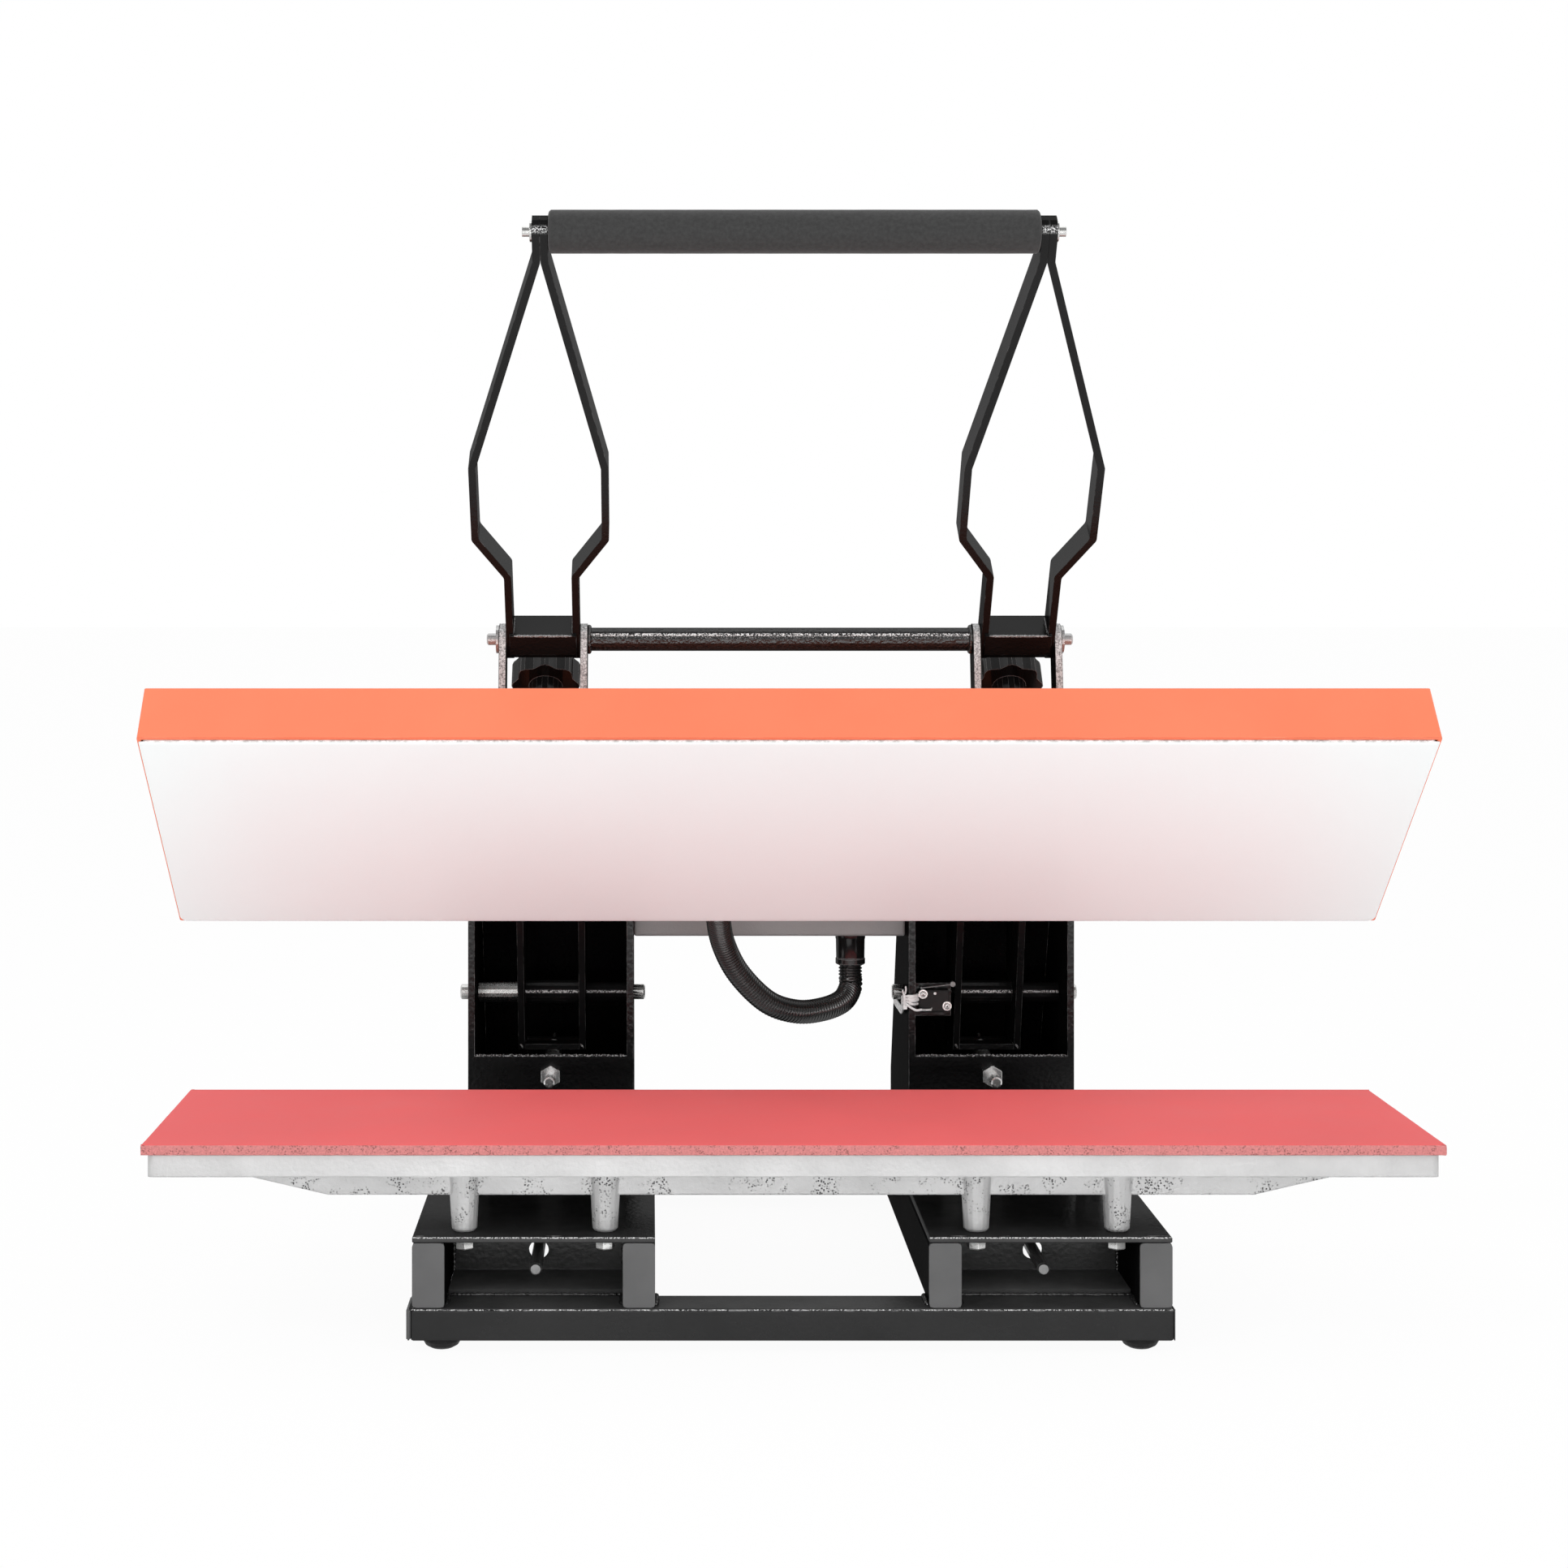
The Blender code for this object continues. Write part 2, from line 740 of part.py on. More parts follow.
def arm_outline():
    heel_low = heel_pin_z - heel_boss
    heel_rear = heel_pin_y + heel_boss
    low_edge_y = closed_from_open(heel_front, front_plate_top)
    heel_turn = closed_from_open(heel_front + heel_flat, front_plate_top)
    boss_front = closed_from_open(heel_pin_y - heel_boss / 2, heel_low)
    boss_rear = closed_from_open(heel_pin_y + heel_boss / 2, heel_low)
    boss_top = closed_from_open(heel_rear, heel_pin_z)
    rear_top = (arm_top_rear, arm_top)
    return [(arm_front, arm_bottom), (arm_knee, arm_bottom), low_edge_y, heel_turn, boss_front,
            boss_rear, boss_top, rear_top, (arm_front, arm_top)]


def build_arms():
    for side, sign in sides:
        centre = sign * side_x
        radii = [arm_corner, arm_knee_corner, 0, heel_corner, heel_corner, heel_corner,
                 arm_corner, arm_rear_corner, arm_corner]
        outline = rounded(arm_outline(), radii, 3)
        arm = place("arm_" + side, prism(outline, "X", centre - arm_outer, centre + arm_outer),
                    "arm_axis", "black_paint", smooth=True)
        low_y, low_z = closed_from_open(heel_front, front_plate_top)
        reach = max(cover_rear, hinge_y) + cover_depth
        cut(arm, box(centre - arm_inner, centre + arm_inner, arm_front - overrun,
                     reach, low_z - cover_height - overrun, arm_top + overrun), "arm_axis")
        join(arm, box(centre - arm_inner - arm_plate / 2, centre + arm_inner + arm_plate / 2,
                      screw_y - nut_block_depth / 2, screw_y + nut_block_depth / 2,
                      nut_block_bottom, nut_block_top), "arm_axis")
        web_along = (cos(open_angle), sin(open_angle))
        web_up = (-sin(open_angle), cos(open_angle))
        web = [(low_y, low_z)]
        web.append((low_y + web_along[0] * heel_flat / 2, low_z + web_along[1] * heel_flat / 2))
        web.append((web[1][0] + web_up[0] * heel_web, web[1][1] + web_up[1] * heel_web))
        web.append((low_y + web_up[0] * heel_web, low_z + web_up[1] * heel_web))
        web_half = arm_inner + arm_plate / 2
        join(arm, prism(web, "X", centre - web_half, centre + web_half), "arm_axis")
        join(arm, turned([(centre - web_half, arm_tube_radius),
                          (centre + web_half, arm_tube_radius)], "X", (0, hinge_y, hinge_z)),
             "arm_axis")
        pin_y, pin_z = closed_from_open(heel_pin_y, heel_pin_z)
        join(arm, turned([(centre - web_half, heel_pin_radius),
                          (centre + web_half, heel_pin_radius)], "X", (0, pin_y, pin_z), 16),
             "arm_axis")
        hanger = capsule((pivot_y, pivot_z), hanger_top_radius,
                         (hanger_foot_y, hanger_foot_z), hanger_foot_radius)
        for lean in (-1, 1):
            near = centre + lean * hanger_inner
            far = centre + lean * hanger_outer
            join(arm, prism(hanger, "X", min(near, far), max(near, far)), "arm_axis")
            pad_in = centre + lean * (arm_outer - arm_plate / 2)
            pad_out = centre + lean * (hanger_inner + hanger_plate / 2)
            join(arm, turned([(min(pad_in, pad_out), weld_pad_radius),
                              (max(pad_in, pad_out), weld_pad_radius)], "X",
                             (0, hanger_foot_y, hanger_foot_z), 16), "arm_axis")
        wide = arm_width
        bore = hinge_radius + running_gap
        cut(arm, turned([(centre - wide, bore), (centre + wide, bore)], "X",
                        (0, hinge_y, hinge_z)), "arm_axis")
        pin_bore = pivot_pin_radius + running_gap
        cut(arm, turned([(centre - wide, pin_bore), (centre + wide, pin_bore)], "X",
                        (0, pivot_y, pivot_z)), "arm_axis")
        screw_bore = screw_radius + running_gap
        cut(arm, turned([(nut_block_bottom - overrun, screw_bore),
                         (nut_block_top + overrun, screw_bore)], "Z",
                        (centre, screw_y, 0)), "arm_axis")


def build_pivot_pins():
    for side, sign in sides:
        inner = side_x - hanger_outer
        washer_in = side_x + hanger_outer + seat_gap
        washer_out = washer_in + pivot_washer
        end = washer_out + pivot_pin_overhang - pivot_washer
        tip = pivot_pin_radius - hinge_chamfer
        profile = [(inner, pivot_pin_radius), (washer_in, pivot_pin_radius),
                   (washer_in, pivot_washer_radius), (washer_out, pivot_washer_radius),
                   (washer_out, pivot_pin_radius), (end - hinge_chamfer, pivot_pin_radius),
                   (end, tip)]
        profile = [(sign * along, radius) for along, radius in profile]
        place("pivot_pin_" + side, turned(profile, "X", pivot_point), "arm_axis", "zinc_steel",
              smooth=True)
    reach = side_x - hanger_outer - seat_gap
    place("cross_tube", turned([(-reach, cross_tube_radius), (reach, cross_tube_radius)], "X",
                               pivot_point), "arm_axis", "black_paint", smooth=True)


def build_upper_platen():
    flat = [(-cover_half, cover_front), (cover_half, cover_front), (cover_half, cover_rear),
            (-cover_half, cover_rear)]
    cover = place("platen_cover", prism(rounded(flat, cover_corner, 3), "Z", cover_bottom,
                                        cover_top), "platen_axis", "orange_paint", smooth=True)
    cut(cover, box(-cover_half + cover_wall, cover_half - cover_wall, cover_front + cover_wall,
                   cover_rear - cover_wall, cover_bottom + cover_wall, cover_top - cover_wall),
        "platen_axis")
    lip = cover_wall + cover_return
    cut(cover, box(-cover_half + lip, cover_half - lip, cover_front + lip, cover_rear - lip,
                   cover_bottom - overrun, cover_bottom + 2 * cover_wall), "platen_axis")
    edge = lip + seat_gap
    flat = [(-cover_half + edge, cover_front + edge), (cover_half - edge, cover_front + edge),
            (cover_half - edge, cover_rear - edge), (-cover_half + edge, cover_rear - edge)]
    heater_top = heater_bottom + heater_thickness
    place("heating_plate", prism(rounded(flat, heater_corner), "Z", heater_bottom, heater_top),
          "platen_axis", "white_coating", smooth=True)
    place("insulation", box(-cover_half + 2 * edge, cover_half - 2 * edge,
                            cover_front + 2 * edge, cover_rear - 2 * edge,
                            heater_top + seat_gap, cover_top - cover_wall - seat_gap),
          "platen_axis", "mineral_wool")
    beam_bottom = cover_top + seat_gap
    half = side_x + beam_end
    beam = place("pressure_beam", box(-half, half, screw_y - beam_depth / 2,
                                      screw_y + beam_depth / 2, beam_bottom, beam_top),
                 "platen_axis", "black_paint")
    for side, sign in sides:
        centre = (sign * side_x, screw_y, 0)
        join(beam, turned([(beam_bottom + seat_floor / 2, seat_radius),
                           (beam_top + seat_height, seat_radius)], "Z", centre), "platen_axis")
        cut(beam, turned([(beam_bottom + seat_floor, screw_radius + running_gap),
                          (beam_top + seat_height + overrun, screw_radius + running_gap)],
                         "Z", centre), "platen_axis")
    place("hose_gland", turned([(cover_rear + seat_gap, gland_radius),
                                (cover_rear + gland_length * gland_collar_share,
                                 gland_radius),
                                (cover_rear + gland_length, hose_radius)], "Y",
                               (gland_x, 0, gland_z)), "platen_axis", "black_plastic",
          smooth=True)


def knob_outline(centre_x):
    points = []
    steps = knob_lobes * 6
    middle = (knob_radius + knob_valley) / 2
    swing = (knob_radius - knob_valley) / 2
    for i in range(steps):
        angle = 2 * pi * i / steps
        radius = middle + swing * cos(knob_lobes * angle)
        points.append((centre_x + radius * cos(angle), screw_y + radius * sin(angle)))
    return points


def build_knobs():
    for side, sign in sides:
        centre = (sign * side_x, screw_y, 0)
        body = "knob_axis_" + side
        star = place("star_knob_" + side, prism(knob_outline(centre[0]), "Z", knob_bottom,
                                                knob_bottom + knob_height), body,
                     "black_plastic", smooth=True)
        hub_bottom = screw_shoulder_z + seat_gap
        join(star, turned([(hub_bottom, knob_hub_radius), (knob_bottom + knob_edge,
                                                           knob_hub_radius)], "Z", centre), body)
        stud_top = screw_shoulder_z + screw_stud_height
        cut(star, turned([(hub_bottom - overrun, screw_stud_radius + seat_gap),
                          (stud_top + seat_gap, screw_stud_radius + seat_gap)], "Z", centre, 16),
            body)
        foot = cover_top + seat_gap + seat_floor + seat_gap
        place("pressure_screw_" + side,
              turned([(foot, screw_radius), (screw_shoulder_z, screw_radius),
                      (screw_shoulder_z, screw_stud_radius), (stud_top, screw_stud_radius)],
                     "Z", centre), body, "zinc_steel", smooth=True)


def strip(path, thickness):
    # The outline of a bent flat bar seen on its edge
    normals = []
    for i in range(len(path)):
        before = Vector(path[i]) - Vector(path[max(i - 1, 0)])
        after = Vector(path[min(i + 1, len(path) - 1)]) - Vector(path[i])
        before = before.normalized() if before.length else after.normalized()
        after = after.normalized() if after.length else before
        along = (before + after).normalized()
        normals.append(Vector((-along[1], along[0])) / along.dot(after))
    half = thickness / 2
    left = [tuple(Vector(point) + normal * half) for point, normal in zip(path, normals)]
    right = [tuple(Vector(point) - normal * half) for point, normal in zip(path, normals)]
    return left + right[::-1]


def build_handle():
    grip_half = grip_length / 2
    meet_x = grip_half + running_gap + bar_thickness + bar_gap / 2
    neck = arm_outer - bar_thickness / 2
    half_pitch = (bar_thickness + bar_gap) / 2
    top = handle_length + bar_width / 2
    for side, sign in sides:
        fork = place("handle_fork_" + side,
                     box(sign * side_x - neck, sign * side_x + neck, -pivot_box_depth / 2,
                         pivot_box_depth / 2, pivot_box_rise - pivot_box_height / 2,
                         pivot_box_rise + pivot_box_height / 2), "handle_axis", "black_paint",
                     smooth=True)
        for lean in (-1, 1):
            wide = neck + bar_bulge
            path = [(sign * side_x + lean * neck, -bar_tail),
                    (sign * side_x + lean * neck, bar_neck),
                    (sign * side_x + lean * wide, bar_bulge_start),
                    (sign * side_x + lean * wide, bar_bulge_end),
                    (sign * meet_x + lean * half_pitch, bar_meet),
                    (sign * meet_x + lean * half_pitch, top)]
            outline = strip(path, bar_thickness)
            count = len(path)
            bends = [0 if i in (0, count - 1) else bar_bend for i in range(count)]
            outline = rounded(outline, bends + bends[::-1], 3)
            join(fork, prism(outline, "Y", -bar_width / 2, bar_width / 2), "handle_axis")
        cut_half = side_x
        side_view = capsule((0, 0), bar_tail, (0, handle_length), bar_width / 2, 10)
        step_shape = prism(side_view, "X", sign * side_x - cut_half, sign * side_x + cut_half)
        combine(fork, step_shape, "handle_axis", "INTERSECT")
        pin_bore = pivot_pin_radius + running_gap
        cut(fork, turned([(sign * side_x - arm_width, pin_bore),
                          (sign * side_x + arm_width, pin_bore)], "X", (0, 0, 0)),
            "handle_axis")
        bolt_bore = grip_bolt_radius + running_gap
        cut(fork, turned([(sign * meet_x - arm_width, bolt_bore),
                          (sign * meet_x + arm_width, bolt_bore)], "X",
                         (0, 0, handle_length), 16), "handle_axis")
    core_radius = grip_radius - foam_thickness
    washer_in = meet_x + half_pitch + bar_thickness / 2 + seat_gap
    shaft_end = washer_in - seat_gap + grip_bolt_reach
    half_profile = [(grip_half, core_radius), (grip_half, grip_bolt_radius),
                    (washer_in, grip_bolt_radius), (washer_in, grip_washer_radius),
                    (washer_in + grip_washer, grip_washer_radius),
                    (washer_in + grip_washer, grip_bolt_radius), (shaft_end, grip_bolt_radius)]
    profile = [(-along, radius) for along, radius in half_profile[::-1]] + half_profile
    place("grip_shaft", turned(profile, "X", (0, 0, handle_length)), "handle_axis",
          "zinc_steel", smooth=True)
    foam = place("foam_grip", turned([(-grip_half, grip_radius), (grip_half, grip_radius)], "X",
                                     (0, 0, handle_length), 24), "handle_axis", "black_foam",
                 smooth=True)
    cut(foam, turned([(-grip_half - overrun, core_radius + seat_gap),
                      (grip_half + overrun, core_radius + seat_gap)], "X",
                     (0, 0, handle_length)), "handle_axis")


def spring_points(centre, start, end):
    # A hook round each anchor and even curls between them, all along the line of pull
    start = Vector((centre, *start))
    end = Vector((centre, *end))
    along = (end - start).normalized()
    across = Vector((1, 0, 0))
    beside = along.cross(across)
    length = (end - start).length
    body_length = length - 2 * spring_tail
    hook_angles = [pi * hook_turn_share * k / spring_hook_steps
                   for k in range(spring_hook_steps + 1)]
    points = []
    for angle in hook_angles[::-1]:
        points.append(start - along * hook_bend * sin(angle) + beside * hook_bend * cos(angle))
    total = spring_curls * spring_curl_steps
    for k in range(total + 1):
        angle = 2 * pi * k / spring_curl_steps
        reach = spring_tail + body_length * k / total
        points.append(start + along * reach
                      + (beside * cos(angle) + across * sin(angle)) * spring_radius)
    for angle in hook_angles:
        points.append(end + along * hook_bend * sin(angle) + beside * hook_bend * cos(angle))
    return points


def build_springs():
    for side, sign in sides:
        centre = sign * side_x
        front = upright_front - hook_bolt_reach
        eye_y = upright_front + hook_eye_setback + hook_eye_radius - hook_eye_hole / 2
        tip = hook_bolt_radius - hinge_chamfer
        bolt = place("hook_bolt_" + side,
                     turned([(front, tip), (front + hinge_chamfer, hook_bolt_radius),
                             (eye_y - hook_eye_hole - hinge_chamfer, hook_bolt_radius)],
                            "Y", (centre, 0, hook_bolt_z), 16), "frame_axis", "zinc_steel",
                     smooth=True)
        join(bolt, turned([(-hook_eye_thickness / 2, hook_eye_radius),
                           (hook_eye_thickness / 2, hook_eye_radius)], "Z",
                          (centre, eye_y, hook_bolt_z)), "frame_axis")
        nut_flat = [(hook_nut_flats / 2 / cos(pi / 6) * cos(pi * (2 * k + 1) / 6) + centre,
                     hook_nut_flats / 2 / cos(pi / 6) * sin(pi * (2 * k + 1) / 6) + hook_bolt_z)
                    for k in range(6)]
        nut_back = upright_front - seat_gap
        join(bolt, prism(nut_flat, "Y", nut_back - hook_nut_height, nut_back), "frame_axis")
        cut(bolt, turned([(-hook_eye_thickness, hook_eye_hole),
                          (hook_eye_thickness, hook_eye_hole)], "Z",
                         (centre, eye_y, hook_bolt_z), 16), "frame_axis")
        ring_y = eye_y + (hook_eye_radius + hook_eye_hole) / 2
        points = spring_points(centre, (ring_y, hook_bolt_z), (heel_pin_y, heel_pin_z))
        place("spring_" + side, swept(points, [spring_wire] * len(points), 6), "frame_axis",
              "zinc_steel", smooth=True)
        first = spring_hook_steps + 1
        pitch = (points[first] - points[first + spring_curl_steps]).length
        print("spring", side, "gap between curls mm", round((pitch - 2 * spring_wire) * 1000, 2))


def build_control_box():
    front = box_front
    case = place("control_box", box(-box_half, box_half, front, front + box_depth, box_bottom,
                                    box_bottom + box_height), "frame_axis", "grey_paint",
                 smooth=True)
    soften(case, box_edge)
    wall = box_wall
    cut(case, box(-box_half + wall, box_half - wall, front + wall, front + box_depth - wall,
                  box_bottom + wall, box_bottom + box_height - wall), "frame_axis")
    panel_z = box_bottom + panel_lift + panel_height / 2
    panel_back = front - seat_gap
    panel_front = panel_back - panel_thickness
    half_w = panel_width / 2
    half_h = panel_height / 2
    outline = rounded([(-half_w, panel_z - half_h), (half_w, panel_z - half_h),
                       (half_w, panel_z + half_h), (-half_w, panel_z + half_h)], panel_corner)
    panel = place("control_panel", prism(outline, "Y", panel_front, panel_back), "frame_axis",
                  "grey_plastic", smooth=True)
    window_z = panel_z + window_offset_z
    cut(panel, box(window_offset_x - window_width / 2, window_offset_x + window_width / 2,
                   panel_front - overrun, panel_front + window_depth,
                   window_z - window_height / 2, window_z + window_height / 2), "frame_axis")
    slack = pocket_slack
    button_z = panel_z + button_offset_z
    for number in range(button_count):
        button_x = button_first_x + number * button_pitch
        name = f"button_{number + 1}"
        button_back = front + button_tail
        point = (button_x, button_back, button_z)
        add_body(name + "_axis", "frame_axis", point, point)
        place(name, turned([(panel_front - button_proud, button_radius - hinge_chamfer),
                            (panel_front - button_proud + hinge_chamfer, button_radius),
                            (button_back, button_radius)], "Y", (button_x, 0, button_z), 20),
              name + "_axis", "black_plastic", smooth=True)
        for item in (panel, case):
            cut(item, turned([(panel_front - overrun, button_radius + slack),
                              (button_back + button_travel + slack, button_radius + slack)],
                             "Y", (button_x, 0, button_z), 20), "frame_axis")
    rocker_z = panel_z
    point = (rocker_offset_x, panel_back, rocker_z)
    add_body("rocker_axis", "frame_axis", point, point)
    rocker_face = panel_front - rocker_proud
    half_r = rocker_height / 2
    profile = [(rocker_face, rocker_z + half_r), (rocker_face + rocker_dish, rocker_z),
               (panel_front - rocker_proud * rocker_low_share, rocker_z - half_r),
               (panel_front + rocker_depth / 2, rocker_z - half_r * rocker_back_share),
               (panel_front + rocker_depth, rocker_z),
               (panel_front + rocker_depth / 2, rocker_z + half_r * rocker_back_share)]
    place("power_rocker", prism(profile, "X", rocker_offset_x - rocker_width / 2,
                                rocker_offset_x + rocker_width / 2), "rocker_axis",
          "black_plastic")
    for item in (panel, case):
        cut(item, box(rocker_offset_x - rocker_width / 2 - slack,
                      rocker_offset_x + rocker_width / 2 + slack, panel_front - overrun,
                      panel_front + pocket_depth, rocker_z - half_r - slack,
                      rocker_z + half_r + slack), "frame_axis")
    rear = front + box_depth
    inlet_z = box_bottom + inlet_lift
    inlet = place("power_inlet", box(inlet_offset_x - inlet_width / 2,
                                     inlet_offset_x + inlet_width / 2, rear + seat_gap,
                                     rear + seat_gap + inlet_flange, inlet_z - inlet_height / 2,
                                     inlet_z + inlet_height / 2), "frame_axis", "black_plastic")
    join(inlet, box(inlet_offset_x - inlet_body_width / 2, inlet_offset_x + inlet_body_width / 2,
                    rear - inlet_body_depth, rear + seat_gap + inlet_flange / 2,
                    inlet_z - inlet_body_height / 2, inlet_z + inlet_body_height / 2),
         "frame_axis")
    cut(inlet, box(inlet_offset_x - inlet_body_width / 2 + inlet_wall,
                   inlet_offset_x + inlet_body_width / 2 - inlet_wall,
                   rear - inlet_body_depth + inlet_wall, rear + overrun,
                   inlet_z - inlet_body_height / 2 + inlet_wall,
                   inlet_z + inlet_body_height / 2 - inlet_wall), "frame_axis")
    cut(case, box(inlet_offset_x - inlet_body_width / 2 - seat_gap,
                  inlet_offset_x + inlet_body_width / 2 + seat_gap,
                  rear - inlet_body_depth - seat_gap, rear + overrun,
                  inlet_z - inlet_body_height / 2 - seat_gap,
                  inlet_z + inlet_body_height / 2 + seat_gap), "frame_axis")


def hose_route():
    # The hose leaves the platen's rear, hangs in a loop and climbs into the box's sleeve
    gland_end = cover_rear + gland_length + seat_gap
    start_y, start_z = open_from_closed(gland_end, gland_z)
    straight = 2 * hose_radius
    lead_y, lead_z = open_from_closed(gland_end + straight, gland_z)
    sleeve_y = box_front + sleeve_setback
    sleeve_bottom = box_bottom - seat_gap - sleeve_length
    mouth = sleeve_bottom - seat_gap
    return [(gland_x, start_y, start_z), (gland_x, lead_y, lead_z), *hose_knots,
            (sleeve_x, sleeve_y, mouth - straight), (sleeve_x, sleeve_y, mouth - hose_radius),
            (sleeve_x, sleeve_y, mouth)]


def smooth_route(route, spacing):
    # Catmull-Rom curve through the route, with points at even spacing
    knots = [Vector(point) for point in route]
    padded = [2 * knots[0] - knots[1]] + knots + [2 * knots[-1] - knots[-2]]
    fine = []
    for a, b, c, d in zip(padded, padded[1:], padded[2:], padded[3:]):
        for k in range(24):
            t = k / 24
            fine.append(0.5 * (2 * b + (c - a) * t + (2 * a - 5 * b + 4 * c - d) * t ** 2
                               + (3 * b - a - 3 * c + d) * t ** 3))
    fine.append(knots[-1])
    total = sum((q - p).length for p, q in zip(fine, fine[1:]))
    count = max(2, round(total / spacing))
    result = [fine[0]]
    walked = 0.0
    target = total / count
    for p, q in zip(fine, fine[1:]):
        step = (q - p).length
        while len(result) < count and walked + step >= target * len(result):
            result.append(p.lerp(q, (target * len(result) - walked) / step))
        walked += step
    result.append(fine[-1])
    return result, total


def build_hose():
    points, length = smooth_route(hose_route(), hose_rib_pitch / 2)
    radii = [hose_radius - (hose_rib_depth if i % 2 else 0) for i in range(len(points))]
    bore_steps = set(range(0, len(points), 4)) | {len(points) - 1}
    place("hose", swept(points, radii, 8, (hose_bore, bore_steps)), "frame_axis",
          "black_plastic", smooth=False)
    print("hose length m", round(length, 3), "points", len(points))
    sleeve_y = box_front + sleeve_setback
    sleeve_top = box_bottom - seat_gap
    place("hose_sleeve", turned([(sleeve_top - sleeve_length, hose_radius),
                                 (sleeve_top - sleeve_length, sleeve_radius),
                                 (sleeve_top, sleeve_radius)], "Z", (sleeve_x, sleeve_y, 0)),
          "frame_axis", "black_plastic", smooth=True)


def build_micro_switch():
    tab_x = side_x - upright_width / 2 + upright_plate
    centre_x = tab_x + switch_offset_x
    back = switch_tab_y - seat_gap
    half_w = switch_width / 2
    half_h = switch_height / 2
    outline = rounded([(centre_x - half_w, switch_tab_z - half_h),
                       (centre_x + half_w, switch_tab_z - half_h),
                       (centre_x + half_w, switch_tab_z + half_h),
                       (centre_x - half_w, switch_tab_z + half_h)], hinge_chamfer, 2)
    place("micro_switch", prism(outline, "Y", back - switch_depth, back), "frame_axis",
          "black_plastic")
    pivot_x = centre_x - half_w + lever_pivot_inset
    pivot_z_here = switch_tab_z + half_h + lever_pivot_radius + seat_gap
    middle_y_here = back - switch_depth / 2
    point = (pivot_x, middle_y_here, pivot_z_here)
    add_body("switch_lever_axis", "frame_axis", point, point)
    tip = (pivot_x + lever_length - roller_radius, pivot_z_here + lever_rise)
    arm_path = strip([(pivot_x, pivot_z_here), tip], lever_thickness)
    lever = place("switch_lever", prism(arm_path, "Y", middle_y_here - lever_depth / 2,
                                        middle_y_here + lever_depth / 2), "switch_lever_axis",
                  "zinc_steel", smooth=True)
    join(lever, turned([(-lever_depth / 2, roller_radius), (lever_depth / 2, roller_radius)],
                       "Y", (tip[0], middle_y_here, tip[1]), 16), "switch_lever_axis")
    join(lever, turned([(-lever_depth / 2, lever_pivot_radius),
                        (lever_depth / 2, lever_pivot_radius)], "Y",
                       (pivot_x, middle_y_here, pivot_z_here), 12), "switch_lever_axis")


build_lower_platen()
build_bases()
build_crossbars()
build_uprights()
build_arms()
build_pivot_pins()
build_upper_platen()
build_knobs()
build_handle()
build_springs()
build_control_box()
build_hose()
build_micro_switch()
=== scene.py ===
import bpy
import bmesh
import math
import random
from mathutils import Vector, Matrix, noise


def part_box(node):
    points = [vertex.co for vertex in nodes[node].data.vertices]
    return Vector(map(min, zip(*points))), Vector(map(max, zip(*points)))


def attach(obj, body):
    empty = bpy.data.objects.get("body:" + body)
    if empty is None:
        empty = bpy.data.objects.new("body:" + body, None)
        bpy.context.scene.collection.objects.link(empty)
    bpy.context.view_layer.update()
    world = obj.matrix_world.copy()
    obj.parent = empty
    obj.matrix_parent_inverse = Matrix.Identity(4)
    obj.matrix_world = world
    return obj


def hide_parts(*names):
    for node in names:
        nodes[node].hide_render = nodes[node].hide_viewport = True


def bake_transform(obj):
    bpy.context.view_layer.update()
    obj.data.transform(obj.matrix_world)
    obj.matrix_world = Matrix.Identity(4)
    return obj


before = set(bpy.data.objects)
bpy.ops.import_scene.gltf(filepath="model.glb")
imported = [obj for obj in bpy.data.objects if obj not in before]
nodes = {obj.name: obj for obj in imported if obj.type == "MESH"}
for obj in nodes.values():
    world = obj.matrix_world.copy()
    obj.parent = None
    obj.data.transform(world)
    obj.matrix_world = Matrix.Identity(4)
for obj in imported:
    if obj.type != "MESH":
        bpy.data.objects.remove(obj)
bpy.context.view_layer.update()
benchShift = Vector((0.0, -0.26797, 0.1648))  # the middle of the pad's front edge
hinge = Vector((0.0, 0.430, 0.050))
openAngle = math.radians(41)
sideX = 0.2  # the middle of each base, upright and arm
touchGap = 0.0003  # between pieces that touch


def bench(x, y, z):  # a point given from the pad's front edge
    return Vector((x, y, z)) + benchShift


def opened(x, y, z):  # a point of the closed drawing, on the raised arm
    dy, dz = y - hinge.y, z - hinge.z
    return bench(x, hinge.y + dy * math.cos(openAngle) + dz * math.sin(openAngle),
                 hinge.z - dy * math.sin(openAngle) + dz * math.cos(openAngle))


# Camera
cameraData = bpy.data.cameras.new("camera")
cameraData.sensor_width = 36
cameraData.lens = 60.56
cameraData.shift_x = 0.0859
cameraData.shift_y = -0.1314
cameraData.clip_end = 100
camera = bpy.data.objects.new("camera", cameraData)
bpy.context.scene.collection.objects.link(camera)
camera.location = (-0.1105, -2.2869, 0.5989)
camera.rotation_euler = (math.radians(90), 0, 0)
bpy.context.scene.camera = camera
bpy.context.scene.view_settings.view_transform = "Standard"


# Material helpers
def add(mat, kind, inputs=None, **settings):
    item = mat.node_tree.nodes.new(kind)
    for key, value in settings.items():
        setattr(item, key, value)
    for key, value in (inputs or {}).items():
        if isinstance(value, bpy.types.NodeSocket):
            mat.node_tree.links.new(value, item.inputs[key])
        else:
            item.inputs[key].default_value = value
    return item


def link(mat, output, socket):
    mat.node_tree.links.new(output, socket)


def grey(value):
    return (value, value, value, 1)


def ramp(mat, factor, low, high, start=0.0, end=1.0):
    return add(mat, "ShaderNodeMapRange", {"Value": factor, "From Min": low, "From Max": high,
                                           "To Min": start, "To Max": end}).outputs["Result"]


